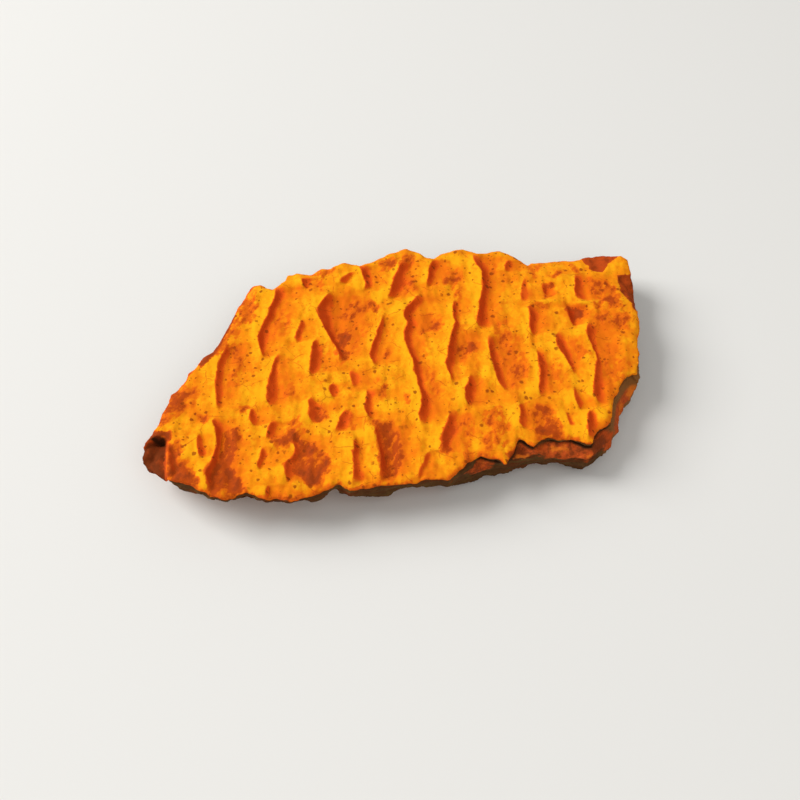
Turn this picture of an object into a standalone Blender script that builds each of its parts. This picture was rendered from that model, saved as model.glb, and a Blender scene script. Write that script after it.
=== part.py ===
"""Limonite specimen: one loose slab of earthy limonite with a rippled, weathered top.

The slab lies on its rough underside. +X runs along its length, +Y away from the broken front
edge and +Z up. The origin is on the resting plane, under the middle of the slab's box. Outlines,
ripples and chips are placed by hand in millimetres, seen from above; Blender gets metres.
"""
import bmesh
import bpy
import numpy as np
from mathutils import Matrix, Vector, noise

MM = 0.001

# Heights above the resting plane and widths, in mm
TOP_LEVEL = 6.6                 # middle height of the rippled top
CRACK_HEIGHT = 0.4              # open seam under the upper sheet
CRACK_SHARE = 0.4               # but no more than this share of that sheet
CRACK_DEPTH = 0.9
LEAST_OVER_SEAM = 0.9           # stone left over the seam
MIDDLE_SHARE = 0.45             # share of the thickness under the sheets' boundary, behind the shelf
BACK_RIM = 3.0                  # height of the rim along the back, from its top edge down
UNDERCUT_REACH = 5.4            # how far in the underside slopes before it meets the resting plane
RESTING_WEAR = 0.1              # what is worn flat off the underside's lumps
UNDERSIDE_BLEND = 0.5           # share of the undercut over which its lumps grow in
EDGE_ROUNDING = 0.35            # how far the top edge drops
EDGE_LENGTH = 0.6               # and how soon that fades inwards
FLAT_BELOW = 0.06               # what lies lower than this is worn level with the resting plane

# The block before it is shaped has its sheets at these even heights, in mm
BLOCK_LEDGE = 3.0
BLOCK_SEAM = 4.2
BLOCK_TOP = 7.2
SEAM_LAP = 0.6

VOXEL = 0.42                    # mm
WELD = 0.02                     # mm
TRIANGLES = 9400

# Roughness: height or reach in mm, width of a lump in mm, its stretch, finer layers, and pattern
EVEN = (1, 1, 1)
LAYER_FADE, LAYER_SCALE = 0.9, 2.0              # how each finer layer fades, and how much finer it is
SWAY = (0.25, 3.0, EVEN, 2, 7)                  # sideways wander of the ripples
SWELL = (0.35, 16, EVEN, 2, 3)                  # slow rise and fall of the top
LUMPS = (0.30, 2.6, (0.7, 1.7, 1), 2, 11)       # small lumps of the top, longer along the ripples
SHELF_LUMPS = (0.20, 2.2, EVEN, 3, 31)
CHIP_WANDER = (1.0, 1.4, EVEN, 3, 51)           # raggedness of a chip's break lines
UNDERCUT_SPREAD = (0.5, 11, EVEN, 2, 29)        # share by which the undercut's reach varies
UNDERSIDE_LUMPS = (1.5, 8, EVEN, 3, 23)
SIDE_LAYERS = (0.45, 1.0, (9, 9, 0.9), 1, 41)   # layers that show on the rim
SIDE_LUMPS = (0.40, 3.0, EVEN, 2, 43)
BACK_CALM = 0.5                                 # the back rim is smoother by this share
BACK_START, BACK_BLEND = -2.0, 8.0              # y where that begins, and how softly
SIDE_START, SIDE_BLEND = 0.2, 0.5               # upward share of a side's normal where its roughness ends

# The slab's edge seen from above, in mm: left, back and right sides, which both sheets share
SHARED_BACK = [
    (-37.2, -9.7), (-36.8, -7.9), (-35.3, -4.8), (-33.3, -1.6), (-31.6, 1.1), (-29.7, 3.2),
    (-28.6, 5.2), (-27.4, 8.1), (-25.5, 12.6), (-24.3, 15.2), (-23.4, 16.3), (-22.4, 16.4),
    (-20.4, 15.3), (-18.5, 17.1), (-17.9, 18.4), (-16.6, 18.8), (-13.9, 18.4), (-12.5, 19.4),
    (-10.9, 19.5), (-8.5, 20.9), (-6.2, 20.1), (-4.1, 20.8), (-1.1, 22.6), (2, 23.7), (3.5, 23.1),
    (5, 21.6), (6.2, 21.4), (7.7, 22.4), (11.5, 23.4), (13.7, 22.1), (17.2, 22.6), (19, 22),
    (21.9, 19.5), (22.6, 20), (31, 20.2), (32.8, 21.5), (35, 21.9), (38.1, 20.9), (39, 19.9),
    (38.9, 16.5), (39.2, 15), (38.4, 10.5), (37.9, 6.5), (36.8, 1.5), (36.4, -0.5),
]
# The front edge left of the shelf, also shared, from right to left and round the tip
SHARED_FRONT = [
    (4.4, -20.9), (2, -21), (-4, -21.5), (-10, -22.1), (-11.5, -21.2), (-13.5, -21.7), (-15.5, -22.6),
    (-18.5, -23.1), (-20.3, -22.6), (-22, -23.1), (-24.5, -22), (-28, -22.8), (-30, -21.8),
    (-32, -20.5), (-35.4, -19.1), (-37.3, -17.3), (-38.9, -16), (-39.5, -14.9), (-39.1, -13.5),
    (-38.6, -12.3), (-37.9, -11.4),
]
# Where the upper sheet broke off above the shelf, from right to left
UPPER_BREAK = [
    (35.6, -3.6), (34.6, -3.6), (33.2, -4.8), (31.8, -6.8), (31, -7.8), (30.4, -10), (29.7, -12.3),
    (27.8, -13.3), (26.8, -14.5), (26.2, -16), (25.3, -16), (23.3, -14.8), (19.5, -14.7), (18.5, -15),
    (17.3, -16), (16, -14.9), (15.2, -14.7), (14.2, -17.2), (12.7, -19), (12, -18.3), (9.2, -17.2),
    (7.5, -18.3),
]
# The lower sheet's own edge in front of that break, from right to left
LOWER_BREAK = [
    (36.3, -2.4), (35.8, -4.4), (34.8, -5.8), (33, -7.3), (32, -9.3), (31.2, -11.3), (30.3, -13.4),
    (29.5, -14.7), (27.8, -15.9), (26.7, -17), (25.2, -17.8), (24.2, -17.4), (21, -16.8), (18, -16.9),
    (15.5, -17.3), (12.7, -18.2), (10, -18.2), (7.5, -19.1), (5.6, -20.1),
]

# The line behind the shelf, from its left end to its right end, and how softly it blends
SHELF_LINE = ((3.5, -21.3), (38.8, -1.0))
SHELF_FADE = 3.0
SHELF_BLEND = 7.0

# By x: height of the broken rim along the front, level of the shelf's inner edge, and its fall
# for each mm outwards
FRONT_RIMS = [
    (-38, 0.5), (-36, 0.5), (-35, 0.6), (-34, 1), (-33, 1.6), (-32, 1.4), (-31, 0.8), (-29.5, 0.5),
    (-26.5, 0.5), (-25, 0.9), (-24, 0.95), (-22.3, 0.5), (-21, 0.9), (-20.3, 1.3), (-18, 0.8),
    (-16, 1.1), (-15, 1.7), (-14, 1.5), (-13, 0.8), (-12.2, 0.8), (-11.4, 1.7), (-10, 1.2), (-8, 2.1),
    (-6, 2.4), (-4.5, 2.8), (-3, 1.8), (-2, 1), (0, 1), (1, 2), (3, 1.7), (4.5, 1.9), (5.6, 2.8),
    (7, 3.7), (9, 3.9), (11, 3.2), (14, 3.1), (16, 2.6), (20, 2.2), (21.5, 1.9), (22.5, 2.4),
    (24.3, 2.9), (25.5, 2.3), (26.5, 1.7), (28.5, 2.2), (30, 1.7), (38, 1.7),
]
LEDGE_LEVELS = [
    (5, 5.5), (20, 5.55), (23, 5.2), (25.5, 4.9), (28, 5.1), (31, 5.2), (38, 5.1),
]
LEDGE_FALLS = [
    (5, 0.42), (27, 0.42), (31, 1.2), (38, 1.3),
]
FRONT_START, FRONT_BLEND = 4.0, 12.0             # y where the front's rim begins, and how softly

# Ripples: the drop of the steep face in mm, then places along Y with the X of the face's crest
# and of its foot, from the back to the front. The crest lies left of the face, the trough right.
RIPPLES = [
    (0.7, [(5.1, -27.7, -27.2), (4, -27.6, -26.9), (2.8, -27.8, -27), (1.4, -28.5, -27.6),
          (0.2, -28.9, -28), (-2, -29.1, -28.2), (-5, -29.1, -28.2), (-7, -28.9, -28.2),
          (-8.3, -28.5, -28.2)]),
    (1, [(16.4, -19.4, -18.4), (15.2, -19.9, -18.3), (13.8, -20, -18.7), (11.5, -20.7, -19.6),
          (9.3, -21.4, -20.4), (7.4, -22.2, -21.1), (5.4, -22.7, -21.3), (2.8, -22.3, -21.7),
          (1.1, -22, -21.8)]),
    (0.95, [(2.6, -19.5, -19.2), (1.8, -19.8, -19.1), (0.6, -20.2, -19.6), (-2, -21, -20),
          (-4.8, -21.5, -20), (-6.4, -21.4, -20.3), (-8.2, -20.9, -20.7)]),
    (0.95, [(5.2, -13.8, -13.4), (3.6, -14.3, -13.3), (2.4, -14.5, -13.1), (0.8, -14.8, -13.3),
          (-1, -15, -13.7), (-2.8, -15.1, -14.6)]),
    (0.6, [(9.1, -15.9, -15.6), (7.8, -16.1, -15.3), (6.4, -16.5, -15.7), (5, -17.1, -16.1),
          (3.8, -16.9, -16.6)]),
    (0.7, [(17.4, -15.5, -14.2), (16.4, -15.6, -14.3), (15.6, -15.3, -14.6), (15.1, -15, -14.8)]),
    (1.3, [(14.6, -11.2, -10.9), (13.2, -12, -10.6), (11.6, -12.9, -11.1), (10.2, -13.5, -11.3),
          (8.8, -13.2, -11.2), (6.8, -12.4, -11), (5.2, -11.9, -10.6), (3.4, -11.1, -9.8),
          (1.6, -10.5, -9.6), (-0.2, -10.2, -9.8)]),
    (0.7, [(-3.5, -11.7, -11.5), (-4.8, -12.3, -10.8), (-5.8, -12, -11.2), (-6.6, -11.8, -11.6)]),
    (0.6, [(-1.2, -8.8, -8.4), (-2.2, -8.8, -7.6), (-3.4, -8.9, -7.8), (-4.8, -8.5, -8.2)]),
    (0.7, [(-4.8, -6.7, -5.9), (-6, -6.5, -5.4), (-6.8, -6.7, -6), (-8.4, -7.2, -6.2), (-9.6, -7, -6.1),
          (-10.9, -6.3, -6)]),
    (0.75, [(-6, -14.9, -14.6), (-7.2, -15.3, -14.1), (-8.4, -15.3, -13.6), (-9.6, -15.4, -13.9),
          (-11.2, -15, -14.4)]),
    (0.7, [(-8.5, -10, -9.4), (-10, -10.8, -9.3), (-11.4, -11.3, -9.8), (-12.8, -11.8, -11)]),
    (0.75, [(-13.3, -8.5, -8.2), (-15, -9.1, -8.3), (-16.8, -9.5, -8.6), (-18.6, -9.3, -8.4),
          (-20.6, -9.4, -8.2), (-22, -9.6, -8.6)]),
    (1.1, [(-10.9, -5.5, -4.9), (-13, -5.9, -4.9), (-15, -5.5, -4.7), (-17, -5.3, -4.3),
          (-19, -5.5, -4.2), (-21.3, -5.6, -4.8)]),
    (1.05, [(13.8, 3.5, 4.3), (12.2, 2.3, 3.7), (10.8, 1.2, 2.4), (9.4, 0.2, 1.5), (8.6, 0.2, 1.9),
          (7.4, 0.8, 2), (5.8, 0, 1.3), (4, -0.2, 0.9), (2.4, 0.2, 1.2), (0, 0.9, 1.9), (-2, 0.9, 2),
          (-5, 1.2, 2.1), (-6.8, 1.6, 2.8), (-8.6, 1.5, 2.6), (-10.4, 0.6, 2), (-11.6, 0.8, 1.8),
          (-12.5, 1.1, 1.4)]),
    (1.05, [(21.4, 1.2, 2.6), (19.6, 0.5, 2.1), (17.8, -0.2, 1.2), (16, -0.9, 1.2), (14.6, -1.4, 0.2),
          (13.2, -1.9, -1), (12, -2.4, -1.9)]),
    (0.9, [(21.4, 6.5, 7.1), (19.8, 5.7, 6.9), (18, 5.1, 6.2), (16.4, 4.6, 5.6), (14.6, 4.3, 4.7)]),
    (1, [(12.6, 8.7, 9.5), (10.8, 8.4, 9.2), (8.6, 8.1, 8.7), (7, 8.2, 9), (5.6, 7.7, 8.3), (3.8, 7, 8),
          (1.6, 6.4, 7.7), (-1, 6, 7.1), (-3.4, 6.2, 6.6), (-5, 6.4, 6.7)]),
    (1.15, [(22.3, 12.7, 13.3), (20.6, 12.8, 14.2), (19.2, 13, 14.9), (17.6, 13.8, 15.1),
          (15.4, 13.7, 14.9), (13.2, 13.2, 14.3), (11.2, 12.7, 14), (9.2, 12.2, 13.6), (7.2, 11.8, 13.4),
          (5.6, 12.1, 12.8)]),
    (0.9, [(4.9, 13, 14), (3, 13.1, 14.1), (0, 13.1, 14.3), (-2.4, 13.1, 14.5), (-5, 13.7, 14.7),
          (-7, 14.7, 15)]),
    (0.9, [(-2.7, 9.4, 9.6), (-4.2, 8.9, 10), (-5.8, 8.3, 9.9), (-8, 8.1, 9.3), (-9.3, 8.6, 9)]),
    (0.95, [(-9.2, 5.7, 6.2), (-10.6, 5.3, 6.5), (-12, 4.7, 6.3), (-13.4, 4.1, 6.1), (-15, 3.6, 5.1),
          (-16.6, 3.6, 4.8), (-17.4, 4, 4.3)]),
    (0.8, [(9.6, -2.9, -2.7), (7.8, -3.5, -3), (6.3, -4.1, -3.4), (4.5, -4.8, -3.9), (3, -5.2, -4.3),
          (1.5, -5.6, -4.5), (0, -5.4, -4.6), (-1.5, -5.1, -4.8)]),
    (0.5, [(-16.1, 1.8, 2.1), (-17.2, 1.1, 1.8), (-18.6, 0.6, 1.2), (-20.2, -0.1, 0.5),
          (-21.3, -0.5, -0.1)]),
    (0.65, [(-8.4, 16.5, 16.8), (-10, 16, 17.1), (-12, 15.7, 16.8), (-13.6, 16, 16.4)]),
    (0.9, [(2.2, 20.7, 20.9), (0.6, 20.4, 21.4), (-1.4, 20.3, 21.6), (-3.2, 20.3, 21.5),
          (-5.2, 19.7, 20.9), (-7, 19.4, 20.4), (-8, 19.8, 20.1)]),
    (0.95, [(10.9, 21.2, 21.6), (9.8, 20.4, 21.8), (8, 20.4, 21.7), (6, 19.9, 21.2), (4, 20.1, 20.5)]),
    (0.5, [(16.6, 20.8, 21.3), (15.2, 20.3, 21.1), (13.4, 20, 20.9), (11.8, 19.5, 20.8),
          (10.8, 19.5, 20.1)]),
    (0.6, [(20.4, 19.1, 19.6), (19.2, 18, 19.2), (17.8, 17.8, 18.2)]),
    (0.9, [(17.2, 29.4, 29.9), (16.2, 29.4, 30.6), (14.8, 29.1, 30.2), (13, 28.5, 30), (11.6, 28.6, 30.3),
          (10.7, 29.4, 29.9)]),
    (0.9, [(10.3, 26.8, 28.2), (9.4, 26.7, 28.6), (8.2, 26.7, 28.3), (6.8, 26.9, 27.7),
          (5.9, 27.2, 27.4)]),
    (0.95, [(7.1, 29.8, 30.4), (5.6, 29.3, 31), (4, 29.1, 30.5), (2.2, 29.4, 30.2), (0.4, 29.8, 30.4),
          (-1, 29.7, 30.2), (-3, 28.8, 30), (-5.2, 28.3, 29.8), (-7.4, 27.9, 29.5), (-9, 28.3, 29.5),
          (-9.7, 28.9, 29.2)]),
    (0.95, [(5.4, 24.8, 25.1), (4.2, 24, 25.3), (2.4, 23.8, 25.4), (0.6, 24.2, 25.7), (-1.4, 24.9, 26),
          (-3.8, 25.6, 25.9)]),
    (0.65, [(-5.9, 25.2, 25.4), (-7.4, 24.9, 25.6), (-8.8, 24.8, 26), (-10.3, 25.1, 25.4)]),
    (0.95, [(-9.7, 27, 27.3), (-11, 26.2, 27.6), (-12.6, 25.9, 27.5), (-14, 25.7, 27),
          (-15.6, 25.6, 26.2)]),
    (0.4, [(-10.2, 23.1, 23.3), (-11.8, 23.1, 23.8), (-13.2, 23.4, 24.1)]),
    (0.65, [(-11.8, -31.4, -31), (-13.6, -31.6, -30.8), (-15.2, -31.4, -30.2), (-16.3, -31.2, -30.6)]),
    (1.1, [(-8.6, -29.1, -28.6), (-10, -29.4, -28.2), (-12, -28.9, -28), (-14, -28.7, -28.2),
          (-15.4, -29.1, -28.4), (-17, -29.6, -28.6), (-18.6, -30.1, -29), (-20.4, -29.9, -28.7),
          (-22, -29.6, -28.8)]),
    (0.6, [(-7.4, -23.8, -23.4), (-8.8, -24, -23.1), (-10, -24, -23), (-11, -23.5, -23.3)]),
    (0.75, [(-10.1, -20.9, -20.1), (-11.6, -21.4, -20.3), (-13.3, -21.6, -20.8)]),
    (0.65, [(-14.3, -22.3, -22), (-15.6, -22.6, -21.7), (-17.2, -22.8, -22.1), (-18.6, -22.9, -22.7)]),
    (0.7, [(-13.7, -35.4, -35), (-15, -35.5, -34.6), (-16.8, -35.3, -34.2), (-18, -35, -34.2),
          (-19.2, -34.9, -34.7)]),
    (0.75, [(-12, -17.8, -17.5), (-13.4, -17.8, -16.8), (-15, -17.5, -16.4), (-16.4, -18, -16.8),
          (-17.6, -19.2, -17.6), (-18.8, -19, -17.6), (-20, -18.9, -18.3), (-21.4, -18.8, -18.5)]),
    (0.5, [(-20.9, -21.5, -21.1), (-22, -21.8, -21.3), (-22.8, -21.7, -21.4)]),
    (0.35, [(15.3, 23.8, 24.7), (14.4, 23.4, 24.7), (13.2, 23.5, 24.3), (12.4, 23.9, 24.3)]),
    (0.5, [(18.4, -7.6, -6.9), (17.4, -8.6, -7.8), (16.4, -9.5, -8.6), (15.7, -9.7, -9.3)]),
    (0.85, [(20.2, -6.2, -4.6), (18.4, -6, -4.5), (16.6, -5.6, -4.4), (15.2, -5.6, -4.7),
          (13.9, -6, -5.7)]),
]
END_SHARE, END_LIMIT = 0.2, 1.8 # a ripple grows over this share of its length, or this many mm
LEAST_WIDTH = 0.5               # narrowest face
WINDWARD_LENGTH = 2.3           # decay of the crest to the left of its face
LEE_LENGTH = 2.4                # decay of the trough to the right of its face
CREST_SHARE = 0.46              # part of the drop that stands above the middle level
LIP_SHARE, LIP_LENGTH = 0.16, 0.6   # sharp part of the crest, and its decay
FACE_CURVE = 1.7                # the face is steepest at its crest
THIN_SHARE = 0.6                # share of the drop that is left where the face narrows away
LINE_STEP = 0.1                 # mm between the places worked out along a ripple
ROUNDING_STEPS = 13             # how many of them round off a corner of its line

# Broad hollows, and lumps where the depth is negative: centre, half length along X and Y, depth
HOLLOWS = [
    (-8.3, 8.5, 3.4, 5, 0.45), (10.4, 2.6, 2, 2.4, 0.3), (-3.4, -15.5, 2.2, 4.8, 0.5),
    (-27.4, -18, 2.4, 4.2, 0.5), (-15.8, -17.5, 3, 4, 0.35), (24.3, 13.6, 1.1, 1.1, 0.6),
    (27.6, 8.7, 1.5, 1.9, 0.75), (19.5, -11.5, 2.6, 3, 0.35), (32.5, 3, 2.2, 6, 0.3),
    (16.5, 1, 2.2, 4.5, 0.25), (-30.7, -9.3, 1.1, 0.8, 0.35), (9.5, 17.5, 2, 3, 0.2),
    (-24.5, 2, 2.4, 5, 0.2), (-32, -6, 2.5, 4, 0.2), (4.5, 7.5, 2, 3, 0.2), (28.5, -11.2, 1.2, 1.2, -0.5),
    (24.2, 11.2, 2.6, 0.5, -0.22), (29.4, 10.6, 1.7, 0.45, -0.3), (31.3, 9.2, 0.5, 1, -0.25),
    (-13, -6.6, 1.6, 1.2, -0.2), (-3.5, -8.6, 2.2, 1.2, -0.2),
]
# The pit under the lip at the left tip, as a hollow of its own
TIP_PIT = (-36.8, -12.6, 1.1, 0.36, 1)

# Chips at the left tip, the back corner and the right edge: fall for each mm past the ragged
# lines that bound the chip, deepest fall, raggedness, and the lines. Each line is two points,
# with the chip on its left-hand side.
TIP_BREAK = [
    ((-35.6, -19.8), (-35.7, -13.4)), ((-35.55, -13.8), (-35.9, -12.5)), ((-35.7, -12.4), (-37.3, -12)),
    ((-37, -11.9), (-39.7, -13.6)),
]
CHIPS = [
    (0.5, 1.6, 0.1, TIP_BREAK),
    (2.4, 0.8, 0.1, TIP_BREAK),
    (0.22, 0.6, 0.4, [((31, 20.5), (32.3, 17.4)), ((32.1, 17.1), (34.3, 17)), ((33.9, 16.7), (37.3, 20.4))]),
    (0.4, 0.9, 0.5, [((36.5, 16.6), (36.2, 12)), ((36.2, 12.6), (38, 8.6)), ((39.5, 16.9), (36, 16.3))]),
]


def clear_scene():
    """Remove what is in the open file, so that the model stands alone."""
    for item in list(bpy.data.objects):
        bpy.data.objects.remove(item, do_unlink=True)
    for group in list(bpy.data.collections):
        bpy.data.collections.remove(group)


def smooth_step(value):
    """Ease from 0 to 1."""
    t = np.clip(value, 0.0, 1.0)
    return t * t * (3.0 - 2.0 * t)


def evaluated_mesh(source):
    """Mesh of an object after its modifiers."""
    graph = bpy.context.evaluated_depsgraph_get()
    return bpy.data.meshes.new_from_object(source.evaluated_get(graph))


def bake_modifiers(target):
    """Replace an object's mesh by what its modifiers make of it."""
    baked = evaluated_mesh(target)
    target.modifiers.clear()
    target.data = baked


def filled_outline(outline, bottom, top):
    """Flat closed plate of the given outline, from a filled 2D curve."""
    curve = bpy.data.curves.new("outline", "CURVE")
    curve.dimensions = "2D"
    curve.fill_mode = "BOTH"
    curve.extrude = (top - bottom) / 2 * MM
    spline = curve.splines.new("POLY")
    spline.points.add(len(outline) - 1)
    for point, (x, y) in zip(spline.points, outline):
        point.co = (x * MM, y * MM, 0, 1)
    spline.use_cyclic_u = True
    drawn = bpy.data.objects.new("outline", curve)
    bpy.context.scene.collection.objects.link(drawn)
    plate = evaluated_mesh(drawn)
    plate.transform(Matrix.Translation((0, 0, (top + bottom) / 2 * MM)))
    bpy.data.objects.remove(drawn)
    return plate


def stack(name, group, plates):
    """Lay overlapping plates into one object; the even remesh that follows fuses them."""
    form = bmesh.new()
    for outline, bottom, top in plates:
        form.from_mesh(filled_outline(outline, bottom, top))
    bmesh.ops.remove_doubles(form, verts=form.verts, dist=WELD * MM)
    bmesh.ops.recalc_face_normals(form, faces=form.faces)
    mesh = bpy.data.meshes.new(name)
    form.to_mesh(mesh)
    form.free()
    stacked = bpy.data.objects.new(name, mesh)
    group.objects.link(stacked)
    return stacked


def shrink(outline, distance):
    """Move an outline inward along its corner bisectors, for the foot of the seam."""
    points = np.array(outline)
    ahead = np.roll(points, -1, axis=0) - np.roll(points, 1, axis=0)
    inward = np.stack([ahead[:, 1], -ahead[:, 0]], axis=1)
    inward /= np.linalg.norm(inward, axis=1, keepdims=True)
    return [tuple(p) for p in points + distance * inward]


def outline_gap(x, y, outline):
    """Distance from each point to an outline, positive inside it."""
    nearest = np.full(x.shape, np.inf)
    inside = np.zeros(x.shape, dtype=bool)
    for (ax, ay), (bx, by) in zip(outline, outline[1:] + outline[:1]):
        dx, dy = bx - ax, by - ay
        along = np.clip(((x - ax) * dx + (y - ay) * dy) / (dx * dx + dy * dy), 0, 1)
        nearest = np.minimum(nearest, np.hypot(x - ax - along * dx, y - ay - along * dy))
        if ay != by:
            crosses = ((ay > y) != (by > y)) & (x < ax + (y - ay) * dx / dy)
            inside ^= crosses
    return np.where(inside, nearest, -nearest)


def rough(x, y, z, layer):
    """Fractal noise around 0, as tall and as wide as the layer of roughness says."""
    height, size, stretch, octaves, pattern = layer
    sx, sy, sz = (1 / (size * s) for s in stretch)
    return height * np.array([
        noise.fractal(Vector((a * sx + pattern, b * sy, c * sz)), LAYER_FADE, LAYER_SCALE, octaves)
        for a, b, c in zip(x, y, z)])


def by_x(x, table):
    """Value at each x from a table of places and values."""
    return np.interp(x, *np.array(table).T)


def face_edge(line_y, rows, column):
    """X of a face's crest or foot along the ripple, with its corners rounded."""
    window = np.hanning(ROUNDING_STEPS)
    edge = np.interp(line_y, rows[:, 0], rows[:, column])
    return np.convolve(np.pad(edge, ROUNDING_STEPS // 2, mode="edge"), window / window.sum(), "valid")


def ripple_height(x, y, drop, edges):
    """One ripple: a crest, its steep face to the right, and the trough beyond, in mm."""
    rows = np.array(edges[::-1], dtype=float)
    front, back = rows[0, 0], rows[-1, 0]
    line_y = np.arange(front, back + LINE_STEP, LINE_STEP)
    crest_x, foot_x = face_edge(line_y, rows, 1), face_edge(line_y, rows, 2)
    line_slant = np.sqrt(1 + np.gradient((crest_x + foot_x) / 2, LINE_STEP) ** 2)
    line_width = np.maximum(foot_x - crest_x, LEAST_WIDTH) / line_slant
    slant, width = np.interp(y, line_y, line_slant), np.interp(y, line_y, line_width)
    past_crest = (x - np.interp(y, line_y, crest_x)) / slant
    past_foot = past_crest - width
    fade = min(END_SHARE * (back - front), END_LIMIT)
    ends = smooth_step((y - front) / fade) * smooth_step((back - y) / fade)
    crest = (CREST_SHARE - LIP_SHARE) * np.exp(np.minimum(past_crest, 0) / WINDWARD_LENGTH)
    crest += LIP_SHARE * np.exp(np.minimum(past_crest, 0) / LIP_LENGTH)
    trough = (CREST_SHARE - 1) * np.exp(-np.maximum(past_foot, 0) / LEE_LENGTH)
    face = 1 - (1 - np.clip(past_crest / width, 0, 1)) ** FACE_CURVE
    depth = drop * ends * (THIN_SHARE + (1 - THIN_SHARE) * width / line_width.max())
    return depth * (crest * (1 - face) + trough * face)


def hollow_depth(x, y, centre_x, centre_y, half_x, half_y, depth):
    """Soft bowl."""
    return depth * np.exp(-((x - centre_x) / half_x) ** 2 - ((y - centre_y) / half_y) ** 2)


def chip_depth(x, y, fall, limit, ragged, lines):
    """A chip deepens with the distance inside all of its break lines."""
    reach = np.full(x.shape, limit / fall)
    for (ax, ay), (bx, by) in lines:
        dx, dy = bx - ax, by - ay
        reach = np.minimum(reach, ((y - ay) * dx - (x - ax) * dy) / np.hypot(dx, dy))
    reach += ragged * rough(x, y, np.zeros_like(x), CHIP_WANDER)
    return fall * np.maximum(reach, 0)


def top_height(x, y, upper_gap):
    """Height of the rippled top over the resting plane."""
    flat = np.zeros_like(x)
    sway = rough(x, y, flat, SWAY)
    height = TOP_LEVEL + rough(x, y, flat, SWELL)
    for drop, edges in RIPPLES:
        height += ripple_height(x + sway, y, drop, edges)
    for hollow in HOLLOWS + [TIP_PIT]:
        height -= hollow_depth(x, y, *hollow)
    for chip in CHIPS:
        height -= chip_depth(x, y, *chip)
    height += rough(x, y, flat, LUMPS)
    return height - EDGE_ROUNDING * np.exp(-np.maximum(upper_gap, 0) / EDGE_LENGTH)


def shelf_height(x, y, upper_gap):
    """Height of the lower sheet's shelf, which falls away outwards."""
    level = by_x(x, LEDGE_LEVELS) - by_x(x, LEDGE_FALLS) * np.maximum(-upper_gap, 0)
    return level + rough(x, y, np.zeros_like(x), SHELF_LUMPS)


def underside_height(x, y, lower_gap, rim_bottom):
    """The underside slopes in from the rim's foot to the resting plane, lumpy and hollowed."""
    flat = np.zeros_like(x)
    reach = UNDERCUT_REACH * (1 + rough(x, y, flat, UNDERCUT_SPREAD))
    inward = np.clip(lower_gap / reach, 0, 1)
    lumps = rough(x, y, flat, UNDERSIDE_LUMPS) * smooth_step(inward / UNDERSIDE_BLEND)
    return np.maximum(rim_bottom * (1 - inward) + lumps - RESTING_WEAR, 0.0)


def shelf_share(x, y):
    """1 where the shelf is, fading to 0 behind it and past its two ends."""
    (start_x, start_y), (end_x, end_y) = SHELF_LINE
    length = np.hypot(end_x - start_x, end_y - start_y)
    run_x, run_y = (end_x - start_x) / length, (end_y - start_y) / length
    along = (x - start_x) * run_x + (y - start_y) * run_y
    outward = (x - start_x) * run_y - (y - start_y) * run_x
    ends = smooth_step(along / SHELF_FADE) * smooth_step((length - along) / SHELF_FADE)
    return ends * smooth_step(1 + outward / SHELF_BLEND)


def shape_block(mesh, upper_outline, lower_outline):
    """Turn the even block into the slab: its top, its shelf, its rim and its underside."""
    block = np.empty(len(mesh.vertices) * 3)
    mesh.vertices.foreach_get("co", block)
    x, y, z = (block.reshape(-1, 3) / MM).T
    normal = np.array([tuple(vertex.normal) for vertex in mesh.vertices])
    upper_gap = outline_gap(x, y, upper_outline)
    lower_gap = outline_gap(x, y, lower_outline)

    top = top_height(x, y, upper_gap)
    on_shelf = shelf_share(x, y)
    shelf = shelf_height(x, y, upper_gap)
    front = smooth_step((FRONT_START - y) / FRONT_BLEND)
    rim = front * by_x(x, FRONT_RIMS) + (1 - front) * BACK_RIM
    rim_bottom = on_shelf * shelf + (1 - on_shelf) * top - rim
    under = underside_height(x, y, lower_gap, rim_bottom)
    middle = on_shelf * shelf + (1 - on_shelf) * (under + MIDDLE_SHARE * (top - under))
    middle = np.minimum(middle, np.maximum(top - LEAST_OVER_SEAM, (top + under) / 2))
    seam = middle + np.minimum(CRACK_HEIGHT, CRACK_SHARE * (top - middle))

    height = np.where(
        z < BLOCK_LEDGE, under + (middle - under) * z / BLOCK_LEDGE,
        np.where(z < BLOCK_SEAM, middle + (seam - middle) * (z - BLOCK_LEDGE) / (BLOCK_SEAM - BLOCK_LEDGE),
                 seam + (top - seam) * (z - BLOCK_SEAM) / (BLOCK_TOP - BLOCK_SEAM)))

    side = 1 - smooth_step((np.abs(normal[:, 2]) - SIDE_START) / SIDE_BLEND)
    side *= 1 - BACK_CALM * smooth_step((y - BACK_START) / BACK_BLEND)
    push = side * (rough(x, y, height, SIDE_LAYERS) + rough(x, y, height, SIDE_LUMPS))
    x = x + push * normal[:, 0]
    y = y + push * normal[:, 1]
    mesh.vertices.foreach_set("co", (np.stack([x, y, height], axis=1) * MM).ravel())
    mesh.update()


def settle(mesh):
    """Put the resting face exactly on the plane and centre the slab over the origin."""
    spots = np.array([tuple(vertex.co) for vertex in mesh.vertices])
    low, high = spots.min(axis=0), spots.max(axis=0)
    spots[:, 0] -= (low[0] + high[0]) / 2
    spots[:, 1] -= (low[1] + high[1]) / 2
    spots[:, 2] = np.where(spots[:, 2] < FLAT_BELOW * MM, 0.0, spots[:, 2])
    mesh.vertices.foreach_set("co", spots.ravel())
    mesh.update()


def limonite_material():
    """Ochre, earthy and dull, with a faint waxy gloss."""
    material = bpy.data.materials.new("ochre_limonite")
    material.use_nodes = True
    shader = material.node_tree.nodes["Principled BSDF"]
    shader.inputs["Base Color"].default_value = (0.87, 0.30, 0.012, 1)
    shader.inputs["Roughness"].default_value = 0.72
    shader.inputs["Metallic"].default_value = 0.0
    return material


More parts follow.
